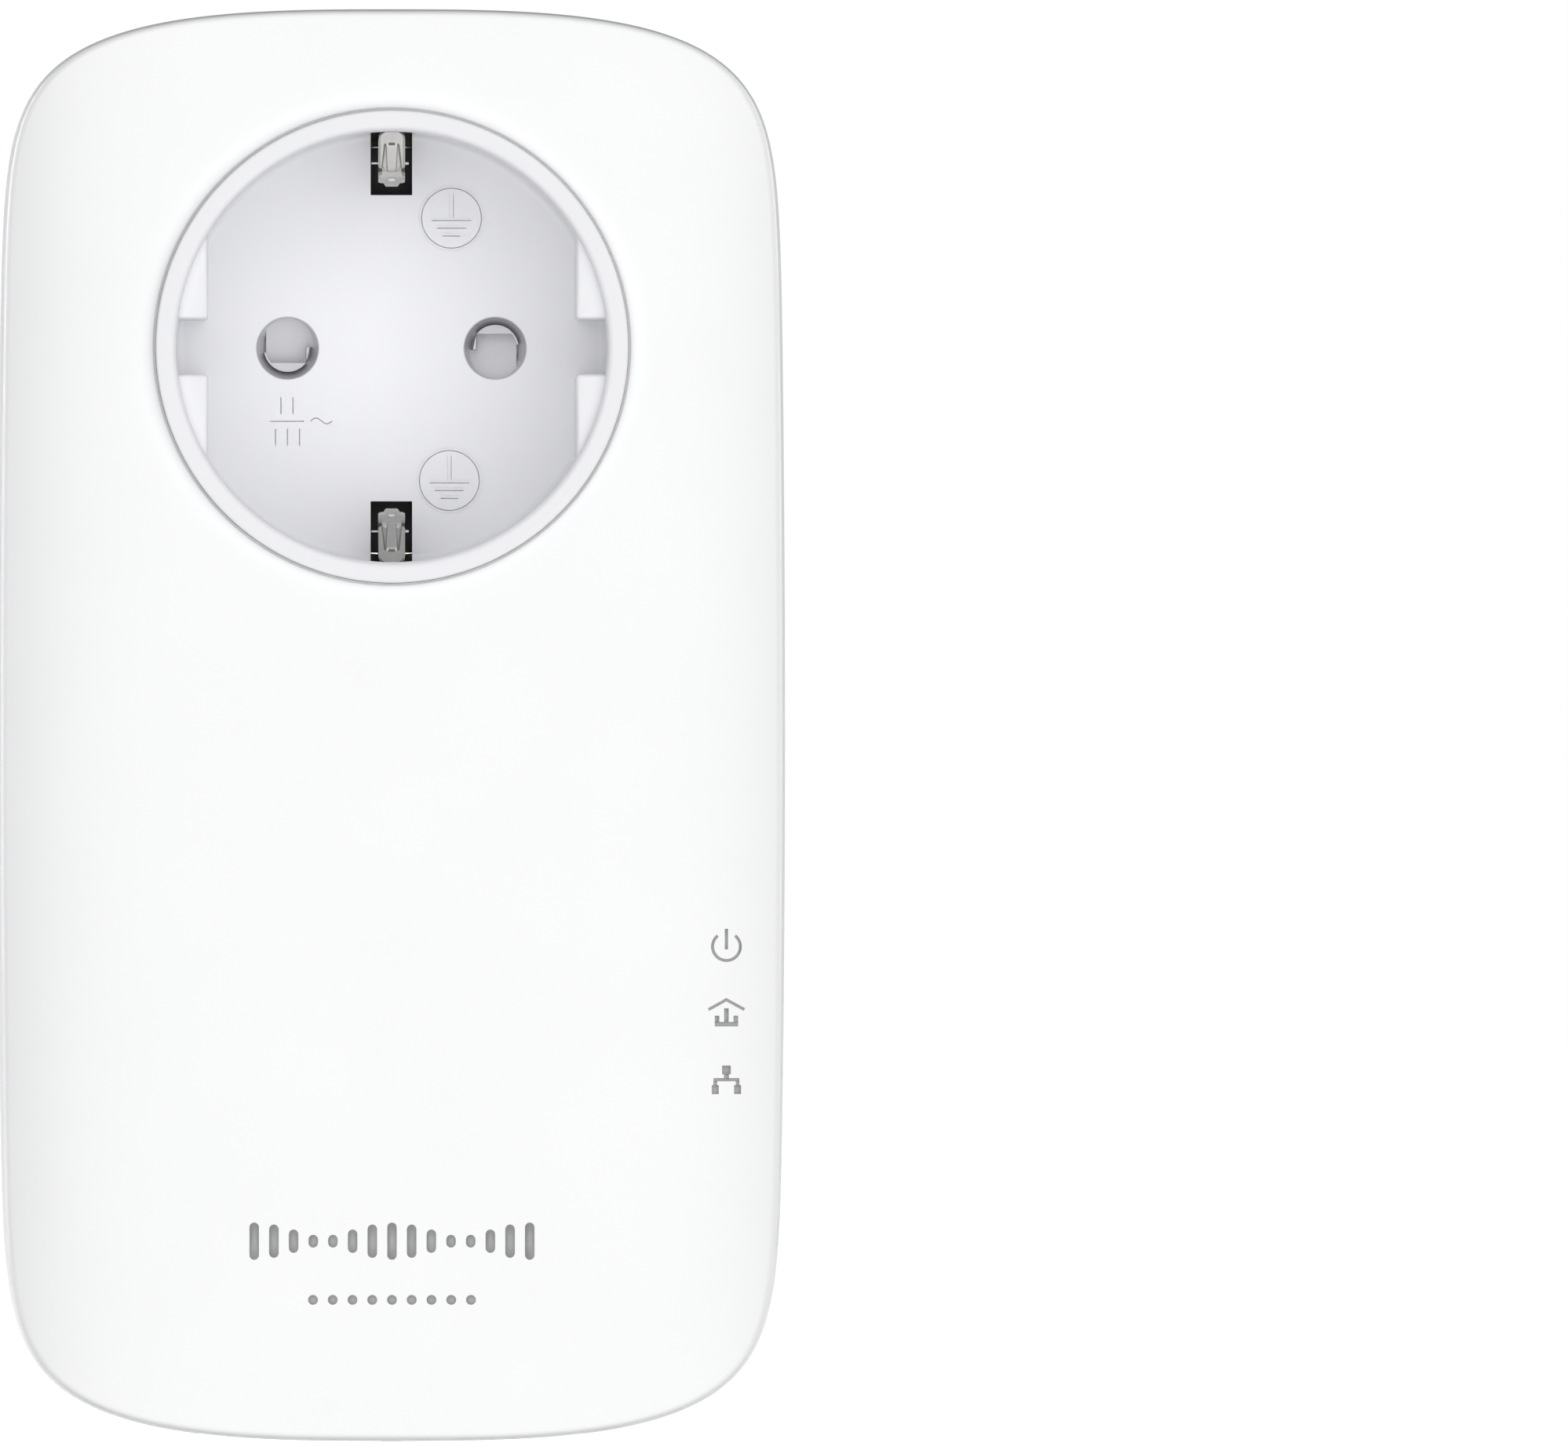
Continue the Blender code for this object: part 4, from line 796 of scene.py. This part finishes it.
def make_print(name, shapes):
    """Thin ink shapes of (x, z) points that follow the cover's face."""
    bm = bmesh.new()
    for shape in shapes:
        bm.faces.new([bm.verts.new((x, 0, z)) for x, z in shape])
    for x in np.arange(-16, 34, 0.5):
        geometry = bm.verts[:] + bm.edges[:] + bm.faces[:]
        bmesh.ops.bisect_plane(bm, geom=geometry, plane_co=(x, 0, 0), plane_no=(1, 0, 0), dist=1e-5)
    for vert in bm.verts:
        vert.co.y = cover_depth(vert.co.x, vert.co.z) - MARK_PROUD
    for face in bm.faces:
        if face.normal.y > 0:
            face.normal_flip()
    bmesh.ops.scale(bm, vec=(MM, MM, MM), verts=bm.verts)
    mesh = bpy.data.meshes.new(name)
    bm.to_mesh(mesh)
    bm.free()
    obj = piece(name, mesh, "ink", "housing", sharp=60)
    modifier = obj.modifiers.new("Thickness", "SOLIDIFY")
    modifier.thickness = 0.10 * MM
    modifier.offset = -1


def band(centre, radius, stroke, start, end, steps=40):
    """Curved stroke as one outline."""
    outer = arc(centre, radius + stroke / 2, start, end, steps)
    return outer + arc(centre, radius - stroke / 2, end, start, steps)


def box_shape(xs, zs):
    return [(xs[0], zs[0]), (xs[1], zs[0]), (xs[1], zs[1]), (xs[0], zs[1])]


def make_icons():
    """Three signs beside the lights: power, network over the house wiring, wired network."""
    x = ICON_X
    z = LIGHT_ZS[0]
    power = [band((x, z), 1.27, 0.26, 129, 411), box_shape(about(x, 0.14), (z - 0.25, z + 1.62))]
    make_print("icon_power", power)
    z = LIGHT_ZS[1] - 0.05
    roof = [(x - 1.70, z + 0.52), (x, z + 1.45), (x + 1.70, z + 0.52)]
    roof += [(x + 1.57, z + 0.30), (x, z + 1.15), (x - 1.57, z + 0.30)]
    comb = [box_shape(about(x, 1.06), (z - 1.12, z - 0.73))]
    for a, top in ((-0.86, -0.16), (0, 0.52), (0.86, -0.16)):
        comb.append(box_shape(about(x + a, 0.2), (z - 0.74, z + top)))
    make_print("icon_powerline", [roof, *comb])
    z = LIGHT_ZS[2]
    net = [box_shape(about(x, 0.39), (z + 0.55, z + 1.34)), box_shape(about(x, 0.22), (z + 0.10, z + 0.56))]
    net += [box_shape(about(x, 1.18), (z - 0.08, z + 0.20))]
    for side in (-1, 1):
        net.append(box_shape(about(x + side * 1.02, 0.16), (z - 0.45, z - 0.07)))
        net.append(box_shape(about(x + side * 1.02, 0.31), (z - 1.25, z - 0.44)))
    make_print("icon_network", net)


def make_plain_marks():
    """Plain ornament: a swell of upright bars, and a row of dots under it."""
    count = 15
    pitch = MARK_WIDTH / count
    bars = []
    for i in range(count):
        x = (i - (count - 1) / 2) * pitch
        tall = 0.9 + (MARK_HEIGHT - 0.9) * abs(math.cos(math.pi * (i - 7) / 7.0)) ** 1.5
        bars.append(slot_outline(tall, 0.86, (x, MARK_Z), 8))
    make_print("mark_bars", bars)
    dots = [slot_outline(0.9001, 0.9, (x, MARK_Z - 5.35), 8) for x in np.linspace(-7.2, 7.2, 9)]
    make_print("mark_dots", dots)


# ---------------------------------------------------------------- socket


def groove_ring(centre, radius, wide, deep):
    """Cutter for a fine ring in the socket's floor."""
    inner, outer = radius - wide / 2, radius + wide / 2
    top, bottom = FLOOR_Y - 0.3, FLOOR_Y + deep
    return lathe([(inner, bottom), (inner, top), (outer, top), (outer, bottom)], 96, "Y", centre)


def groove_bar(xs, zs, deep=GROOVE_DEEP):
    """Cutter for a fine straight line in the socket's floor."""
    return block(xs, (FLOOR_Y - 0.3, FLOOR_Y + deep), zs)


def earth_sign(x, z):
    """Fine outline of the general earth sign in a double circle."""
    cutters = [groove_ring((x, z), 2.74, 0.11, GROOVE_DEEP), groove_ring((x, z), 2.98, 0.08, 0.08)]
    for side in (-1, 1):
        middle = x + side * 0.17
        cutters.append(groove_bar(about(middle, 0.04), (z + 0.10, z + 2.20), 0.14 + side * 0.06))
    for half, drop in ((1.78, 0.0), (1.30, 0.70), (0.80, 1.42)):
        low = z - drop - 0.27
        cutters.append(groove_bar(about(x, half), (low, low + 0.10)))
        cutters.append(groove_bar(about(x, half), (low + 0.27, low + 0.33), 0.06))
    return cutters


def floor_marks():
    """Cutters for an earth sign beside each earth contact, and for a plain ornament of lines and a wave."""
    cutters = earth_sign(5.5, 11.9) + earth_sign(5.3, -12.1)
    cutters.append(groove_bar((-11.1, -8.0), (-6.75, -6.63)))
    for x in (-10.1, -9.0):
        cutters.append(groove_bar(about(x, 0.06), (-6.0, -4.5)))
    for x in (-10.6, -9.5, -8.4):
        cutters.append(groove_bar(about(x, 0.06), (-8.9, -7.4)))
    wave = [(x, FLOOR_MARK_Z + 0.26 * math.sin((x + 7.4) * math.pi)) for x in np.linspace(-7.4, -5.4, 25)]
    upper = [(x, z + 0.06) for x, z in wave]
    lower = [(x, z - 0.06) for x, z in reversed(wave)]
    cutters.append(prism(upper + lower, FLOOR_Y - 0.3, FLOOR_Y + GROOVE_DEEP))
    return cutters


def keying_block(sx, sz):
    """Block in the recess, above or below the middle slot on one side."""
    outer = RECESS_R + 0.9
    low = math.degrees(math.asin(BLOCK_SLOT / 2 / outer))
    high = math.degrees(math.acos(BLOCK_X / outer))
    near = arc((BLOCK_X + 0.4, BLOCK_SLOT / 2 + 0.4), 0.4, 270, 180, 6)
    points = near + list(reversed(arc((0, 0), outer, low, high, 16)))
    points = [(x * sx, z * sz) for x, z in points]
    return soften_rim(prism(points, BLOCK_TOP_Y, FLOOR_Y + 0.6), 1, BLOCK_TOP_Y, 0.4)


def make_socket_insert():
    rim = arc((RIM_R - 0.25, RIM_Y + 0.25), 0.25, 0, -90, 5)
    throat = arc((RECESS_R + 0.65, RIM_Y + 0.65), 0.65, -90, -180, 10)
    foot = arc((RECESS_R - 0.7, FLOOR_Y - 0.7), 0.7, 0, 90, 8)
    profile = [(RIM_R, FLOOR_BACK), (RIM_R, FLANGE_BACK_Y), (FLANGE_R, FLANGE_BACK_Y)]
    profile += [(FLANGE_R, FLANGE_FRONT_Y), (RIM_R, FLANGE_FRONT_Y), *rim, *throat, *foot]
    insert = lathe(profile, 240, closed=False)
    for sx in (1, -1):
        for sz in (1, -1):
            insert = boolean(insert, keying_block(sx, sz), "UNION")
    tools = []
    for x in (-PIN_X, PIN_X):
        bore = [(SOCKET_HOLE_R + 0.12, FLOOR_Y - 1), (SOCKET_HOLE_R + 0.12, FLOOR_Y - 0.02)]
        bore += [(SOCKET_HOLE_R + 0.02, FLOOR_Y + 0.1), (SOCKET_HOLE_R - 0.03, FLOOR_BACK + 1)]
        tools.append(lathe(bore, 96, "Y", (x, 0), False))
    reach = WINDOW_WIDTH / 2
    for side in (-1, 1):
        zs = (side * WINDOW_INNER, side * (RIM_R + 1))
        tools.append(block((-reach, reach), (FLOOR_Y - 0.6, FLOOR_BACK + 1), zs))
    insert = boolean(insert, merged(tools))
    walls = []
    for side in (-1, 1):
        zs = (side * (RECESS_R - 1.5), side * (RIM_R + 1))
        walls.append(block((-reach, reach), (WINDOW_TOP_Y, FLOOR_Y - 0.2), zs))
    insert = boolean(insert, merged(walls))
    insert = boolean(insert, merged(floor_marks()))
    # The socket insert takes the darker socket_white copy, painted shade for the recess.
    piece("socket_insert_fine", insert, "white_plastic", "housing", ["socket_insert"], shaded_paint="socket_white")


def put(mesh, side):
    """Moves a mesh made about a pin's axis to the live pin, or turned half round to the neutral one."""
    if side > 0:
        mesh.transform(Matrix.Rotation(math.pi, 4, "Y"))
    mesh.transform(Matrix.Translation((side * PIN_X * MM, 0, 0)))
    return mesh


def add_ramp(shutter, side):
    """Dish, ramp and nose that an entering pin presses on, made about the pin's axis."""
    dish = [(SOCKET_HOLE_R, SHUTTER_Y - 1), (SOCKET_HOLE_R, SHUTTER_Y + 0.05), (POCKET_R, SHUTTER_Y + 1.15)]
    dish += [(POCKET_R, SHUTTER_Y + 1.7)]
    shutter = boolean(shutter, put(lathe(dish, 96, closed=False), side))
    back = SHUTTER_BACK - 0.4
    slope = [(SHUTTER_Y + 0.1, 2.9), (SHUTTER_Y + 1.5, -POCKET_EDGE), (back, -POCKET_EDGE), (back, 2.9)]
    wedge = prism(slope, -1.95, 3.0, "X")
    round_body = rod(SOCKET_HOLE_R + 0.03, (SHUTTER_Y - 1, back + 0.1), 96, (0, 0))
    wedge = boolean(wedge, round_body, "INTERSECT")
    wedge = boolean(wedge, block((1.69, 3.2), (SHUTTER_Y - 1, back - 0.3), (-3, 0.12)))
    shutter = boolean(shutter, put(wedge, side), "UNION")
    half = math.degrees(math.asin(POCKET_EDGE / POCKET_R))
    nose = prism(arc((0, 0), POCKET_R - 0.04, 180 + half, 360 - half, 32), SHUTTER_Y + 0.06, back)
    shutter = boolean(shutter, put(nose, side), "UNION")
    edge = band((0, 0), POCKET_R - 0.11, 0.14, 190, 180 + half + 4, 16)
    shutter = boolean(shutter, put(prism(edge, SHUTTER_Y + 0.1, back), side), "UNION")
    fin = prism([(1.73, 0.1), (2.04, 0.1), (1.80, -1.0), (1.73, -1.0)], SHUTTER_Y + 0.1, back)
    return boolean(shutter, put(fin, side), "UNION")


def make_shutter():
    profile = [(SHUTTER_R, SHUTTER_BACK), (SHUTTER_R, SHUTTER_Y + 0.3), (SHUTTER_R - 0.3, SHUTTER_Y)]
    profile += [(AXLE_R + 0.5, SHUTTER_Y), (AXLE_R + 0.3, SHUTTER_Y + 0.2), (AXLE_R + 0.3, SHUTTER_BACK)]
    shutter = lathe(profile, 120)
    for half_turn in (0, 180):
        angle = math.radians(SHUTTER_TURN + half_turn)
        spot = (PIN_X * math.cos(angle), PIN_X * math.sin(angle))
        shutter = boolean(shutter, rod(SOCKET_HOLE_R, (-42, -36), 64, spot))
    for side in (-1, 1):
        shutter = add_ramp(shutter, side)
    # The shutter's darkened grey is painted shade for the pin holes.
    piece("socket_shutter_fine", shutter, "shutter_white", "shutter", ["socket_shutter"])


def clip_sheet(path, half_width, relief, thickness, columns=33):
    """Pressed strip along (y, z) points; half_width and relief depend on the place along and across it."""
    path = np.asarray(path, float)
    forward = np.gradient(path, axis=0)
    forward /= np.linalg.norm(forward, axis=1)[:, None]
    normal = np.stack([-forward[:, 1], forward[:, 0]], 1)
    shares = np.linspace(-1, 1, columns)
    front, back = [], []
    for spot, out in zip(path, normal):
        x = shares * half_width(spot)
        lift = relief(spot, x)
        front.append([(a, spot[0] + out[0] * b, spot[1] + out[1] * b) for a, b in zip(x, lift)])
        low = lift - thickness
        back.append([(a, spot[0] + out[0] * b, spot[1] + out[1] * b) for a, b in zip(x, low)])
    rings = [list(a) + list(reversed(b)) for a, b in zip(front, back)]
    return loft("clip", rings)


def place_clip(name, mesh, side, shaded_paint=None):
    """Clip above the axis as made, or mirrored to below it, on its own body."""
    if side < 0:
        mesh.transform(Matrix.Diagonal((1, 1, -1, 1)))
        mesh.flip_normals()
    body = name.replace("earth_clip", "clip")
    piece(f"{name}_fine", mesh, "nickel", body, [name], sharp=50, shaded_paint=shaded_paint)


def make_socket_clip(name, side):
    path = [(-21.8, 19.2), (-36.0, 19.2), (-41.2, 17.7), (-47.0, 15.2)]
    path += [(-48.3, 14.9), (-49.4, 15.6), (-52.3, 19.8)]
    path = along(softened(path, 3), 260)

    def half_width(spot):
        y, z = spot
        if y > -47.6:
            return CLIP_HALF
        waist = 0.32 * ramp(z, 15.78, 15.9) * (1 - ramp(z, 16.4, 16.55))
        over = max(z - 18.86, 0)
        return CLIP_HALF - waist - (1 - math.sqrt(1 - min(over, 0.95) ** 2))

    def relief(spot, x):
        y, z = spot
        across = np.abs(x)
        if y > -47.6:
            return 0.3 - 0.32 * ramp(across, 0.5, 0.8) * ramp(-y, 46.6, 47.4)
        inside = ramp(z, 16.2, 16.4) * (1 - ramp(z, 18.55, 18.75))
        tongue = 1 - ramp(across, 0.37 + 0.05 * (z - 16.3), 0.44 + 0.05 * (z - 16.3))
        groove = (1 - tongue) * (1 - ramp(across, 0.55 + 0.12 * (18.6 - z), 0.72 + 0.12 * (18.6 - z)))
        slit = (1 - ramp(abs(z - 15.6), 0.04, 0.09)) * (1 - ramp(across, 0.28, 0.34))
        slit += (1 - ramp(abs(z - 18.72), 0.04, 0.09)) * (1 - ramp(across, 0.24, 0.30))
        edge = 0.14 * ramp(across, 1.0, 1.2)
        foot = 0.32 * ramp(across, 0.5, 0.8) * (1 - ramp(z, 15.0, 15.6))
        return 0.3 + inside * (0.1 * tongue - 0.34 * groove) - 0.38 * slit - edge - foot

    barbs = [block((-1.85, -1.1), (-50.15, -50.0), (16.72, 16.9), 0.04)]
    barbs.append(block((1.1, 1.55), (-50.15, -50.0), (16.68, 16.92), 0.04))
    mesh = merged([clip_sheet(path, half_width, relief, 0.5, 65), *barbs])
    # The socket clips take clip_nickel, the darker copy of nickel: painted shade for their dim reflections
    # inside the socket.
    place_clip(name, mesh, side, "clip_nickel")


# ---------------------------------------------------------------- plug


def make_plug_base():
    edge = arc((BOSS_R - 0.8, -0.8), 0.8, 90, 0, 6)
    profile = [(0, 0), *edge, (BOSS_R, BACK_Y - WALL - 0.3), (BOSS_R + 2.4, BACK_Y - WALL - 0.3)]
    profile += [(BOSS_R + 2.4, BOSS_FLANGE_Y), (0, BOSS_FLANGE_Y)]
    base = lathe(profile, 192, closed=False)
    tools = []
    for side in (-1, 1):
        for low, high in ((BOSS_RIB / 2, 12), (-12, -BOSS_RIB / 2)):
            tools.append(block((side * BOSS_FLAT_X, side * 20), (BACK_Y + 0.2, 1), (low, high), 0.25))
    for side in (-1, 1):
        tools.append(block((-3.3, 3.3), (-22, 1), (side * 15.9, side * 21.5), 0.2))
    for x in (-PIN_X, PIN_X):
        bore = [(PIN_R + 0.35, -22), (PIN_R + 0.35, -0.25), (PIN_R + 0.7, 0.1), (PIN_R + 0.8, 2)]
        tools.append(lathe(bore, 64, "Y", (x, 0), False))
    hole = EARTH_HOLE_R + 0.7
    bore = [(hole, -22), (hole, -0.4), (hole + 0.45, 0.1), (hole + 0.6, 2)]
    tools.append(lathe(bore, 64, "Y", (0, EARTH_HOLE_Z), False))
    for tool in tools:
        base = boolean(base, tool)
    piece("plug_base_fine", base, "plug_white", "housing", ["plug_base"])


def make_plug_pin(name, side):
    tip = arc((PIN_R - 1.3, PIN_TIP - 1.3), 1.3, 90, 0, 10)
    profile = [(0, PIN_TIP), *tip, (PIN_R, -20.75), (3.2, -20.75), (3.2, -21.9), (0, -21.9)]
    piece(f"{name}_fine", lathe(profile, 72, "Y", (side * PIN_X, 0), False), "nickel", "housing", [name])


def make_plug_clip(name, side):
    path = along(softened([(-21.3, 17.3), (-14.0, 17.3), (-9.0, 18.2), (-5.5, 18.3), (-1.8, 17.2)], 3), 90)

    def half_width(spot):
        return 2.7 - 1.1 * ramp(spot[0], -2.9, -1.8) ** 2

    def relief(spot, x):
        rib = (1 - ramp(np.abs(x), 0.6, 1.1)) * ramp(spot[0], -14, -12) * (1 - ramp(spot[0], -4.5, -3.2))
        edge = 0.12 * ramp(np.abs(x), 2.4, 2.7)
        return 0.33 + 0.02 * rib - edge

    place_clip(name, clip_sheet(path[::-1], half_width, relief, 0.62, 41), side)


def make_plug_sleeve():
    outer = EARTH_HOLE_R + 0.35
    profile = [(outer, -1.0), (outer - 0.1, -0.9), (EARTH_HOLE_R + 0.1, -0.9), (EARTH_HOLE_R, -1.1)]
    profile += [(EARTH_HOLE_R, -19.8), (outer, -19.8)]
    sleeve = lathe(profile, 64, "Y", (0, EARTH_HOLE_Z))
    piece("plug_earth_sleeve_fine", sleeve, "brass", "housing", ["plug_earth_sleeve"])


# ---------------------------------------------------------------- controls, lights and jacks


def make_pair_button():
    low = span("pair_button")[0]
    outer = slot_outline(7.9, 3.5, (SIDE_FEATURE_Y, PAIR_Z), 14)
    cap = soften_rim(prism(outer, 32.4, PAIR_FACE_X, "X"), 0, PAIR_FACE_X, 0.35)
    groove = [(0.62, PAIR_FACE_X - 0.12), (0.62, 40), (0.92, 40), (0.92, PAIR_FACE_X - 0.12)]
    for z in about(PAIR_Z, 0.65):
        cap = boolean(cap, lathe(groove, 40, "X", (SIDE_FEATURE_Y, z)))
    flange = prism(slot_outline(10.4, 5.2, (SIDE_FEATURE_Y, PAIR_Z), 14), 31.6, 33.0, "X")
    stem = block((low[0], 32.2), about(SIDE_FEATURE_Y, 0.8), about(PAIR_Z, 1.4), 0.1)
    piece("pair_button_fine", merged([cap, flange, stem]), "white_plastic", "button", ["pair_button"])


def make_light_pipe():
    low, high = span("light_pipe")
    parts = [block((30.4, 31.6), (low[1], high[1]), (low[2], high[2]), 0.2)]
    for z in LIGHT_ZS:
        window = slot_outline(2.7, 1.2, (SIDE_FEATURE_Y, z))
        parts.append(prism(window, low[0], LIGHT_FACE_X, "X", bevel=0.12))
    piece("light_pipe_fine", merged(parts), "clear_plastic", "housing", ["light_pipe"])


def make_jack(name, x):
    low, high = span(f"lan_jack_{name}")
    y, z = low[1], low[2]
    deep = JACK_FACE_Z + JACK_DEEP
    shield = block((low[0], high[0]), (y, high[1]), (z, high[2]), 0.3)
    shield = boolean(shield, block(about(x, 6.6), (y + 0.7, y + 12.2), (z - 1, z + 3), 0.2))
    liner = block(about(x, 6.55), (y + 0.75, y + 12.15), (z + 0.15, z + 2.95), 0.1)
    cavity = (about(x, JACK_CAVITY_HALF), (y + 1.3, y + 9.4), (z - 2, deep), 0.05)
    notch_xs, notch_ys = about(x, JACK_NOTCH_HALF), (y + 8.8, y + 11.6)
    shield = boolean(shield, block(*cavity))
    shield = boolean(shield, block(notch_xs, notch_ys, (z - 2, deep - 2), 0.05))
    for side in (-1, 1):
        finger = block(about(x + side * 7.9, 0.12), (y + 4, y + 8), (z + 2, z + 6), 0.1)
        shield = boolean(shield, finger)
    piece(f"lan_jack_fine_{name}", shield, "tinned_steel", "housing", [f"lan_jack_{name}"])
    liner = boolean(liner, block(*cavity))
    liner = boolean(liner, block(notch_xs, notch_ys, (z - 2, deep), 0.05))
    piece(f"lan_jack_liner_{name}", liner, "black_plastic", "housing", [f"lan_jack_{name}"])


def make_jack_contacts(name, x):
    bar_z = span(f"lan_contacts_{name}")[1][2] - 0.45
    wall_y = span(f"lan_jack_{name}")[0][1] + 1.3
    root_y = wall_y + 1.1
    wires = []
    path = [(root_y, bar_z), (root_y + 0.1, bar_z - 2.5)]
    path += [(root_y + 0.9, bar_z - 6.6), (root_y + 0.35, bar_z - 7.6)]
    path = along(softened(path, 2), 14)
    for i in range(CONTACT_COUNT):
        spot = x + (i - (CONTACT_COUNT - 1) / 2) * CONTACT_PITCH
        wires.append(tube([(spot, y, z) for y, z in path], 0.2, 8))
    bar = block(about(x, 4.4), about(root_y, 0.35), about(bar_z, 0.45), 0.1)
    comb = merged([bar, *wires])
    piece(f"lan_contacts_fine_{name}", comb, "brass", f"network_contacts_{name}", [f"lan_contacts_{name}"])


# ---------------------------------------------------------------- carried-over CAD nodes, stage, light


def paint_cad_nodes():
    """Gives every CAD node that still shows its procedural material."""
    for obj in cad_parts.values():
        slots = [slot.material.name.split(".")[0] for slot in obj.material_slots if slot.material]
        key = slots[0] if slots else "black_plastic"
        for slot in obj.material_slots:
            slot.material = PAINTS[key]


def make_stage():
    bm = bmesh.new()
    bmesh.ops.create_circle(bm, cap_ends=True, segments=96, radius=9.0)
    mesh = bpy.data.meshes.new("floor")
    bm.to_mesh(mesh)
    bm.free()
    mesh.materials.append(FLOOR_PAINT)
    floor = bpy.data.objects.new("floor", mesh)
    floor.location = (0, 0, CAD_BOUNDS[0].z - 0.0002)
    bpy.context.scene.collection.objects.link(floor)
    floor.visible_diffuse = False
    floor.visible_shadow = False


def soft_light(name, place, target, size, power, colour=(1, 1, 1)):
    data = bpy.data.lights.new(name, "AREA")
    data.shape = "DISK"
    data.size = size
    data.energy = power
    data.color = colour
    light = bpy.data.objects.new(name, data)
    bpy.context.scene.collection.objects.link(light)
    light.location = place
    light.rotation_euler = (Vector(target) - Vector(place)).to_track_quat("-Z", "Y").to_euler()
    light.visible_camera = False
    return light


def make_world():
    world = bpy.data.worlds.new("studio")
    world.use_nodes = True
    bpy.context.scene.world = world
    tree = world.node_tree
    background = tree.nodes["Background"]
    background.inputs["Color"].default_value = (0.972, 0.967, 1.0, 1)
    background.inputs["Strength"].default_value = 0.12
    seen = node(tree, "ShaderNodeBackground", {"Color": (1, 1, 1, 1), "Strength": 1.0})
    path = node(tree, "ShaderNodeLightPath")
    mix = node(tree, "ShaderNodeMixShader")
    tree.links.new(path.outputs["Is Camera Ray"], mix.inputs["Fac"])
    tree.links.new(background.outputs[0], mix.inputs[1])
    tree.links.new(seen.outputs[0], mix.inputs[2])
    tree.links.new(mix.outputs[0], tree.nodes["World Output"].inputs["Surface"])


def make_camera():
    """Long lens from straight ahead; the object stands left of the frame's middle, as one of a pair would."""
    data = bpy.data.cameras.new("camera")
    data.lens = LENS
    data.sensor_width = SENSOR
    data.clip_end = 20
    camera = bpy.data.objects.new("camera", data)
    bpy.context.scene.collection.objects.link(camera)
    distance = FRAME_WIDTH * LENS / SENSOR
    x = -distance * math.tan(math.radians(VIEW_LEFT))
    z = BODY_MIDDLE_Z - distance * math.tan(math.radians(VIEW_BELOW))
    place = Vector((x, COVER_Y - distance, z))
    target = Vector((FRAME_WIDTH / 4, COVER_Y, BODY_MIDDLE_Z))
    camera.location = place * MM
    camera.rotation_euler = (target - place).to_track_quat("-Z", "Y").to_euler()
    bpy.context.scene.camera = camera


def make_lights():
    soft_light("key", (0.22, -1.5, 0.0), (0, 0, -0.02), 4.0, 53.5)
    soft_light("side_left", (-1.5, -0.45, 0.0), (0, 0, -0.035), 0.8, 1.5)
    soft_light("rear_left", (-1.2, 0.9, 0.25), (0, 0, -0.035), 1.0, 12.0, (0.98, 0.98, 1.0))
    soft_light("rear_right", (1.2, 0.9, 0.25), (0, 0, -0.035), 1.0, 7.0, (0.98, 0.98, 1.0))
    make_world()


# ---------------------------------------------------------------- assembly

make_front_cover()
make_rear_housing()
make_screws()
make_icons()
make_plain_marks()
make_socket_insert()
make_shutter()
for clip, side in (("socket_earth_clip_upper", 1), ("socket_earth_clip_lower", -1)):
    make_socket_clip(clip, side)
make_plug_base()
make_plug_pin("live_plug_pin", -1)
make_plug_pin("neutral_plug_pin", 1)
make_plug_clip("plug_earth_clip_upper", 1)
make_plug_clip("plug_earth_clip_lower", -1)
make_plug_sleeve()
make_pair_button()
make_light_pipe()
for jack, spot in (("left", -JACK_X), ("right", JACK_X)):
    make_jack(jack, spot)
    make_jack_contacts(jack, spot)
paint_cad_nodes()
make_stage()
make_camera()
make_lights()
bpy.context.scene.view_settings.view_transform = "Standard"
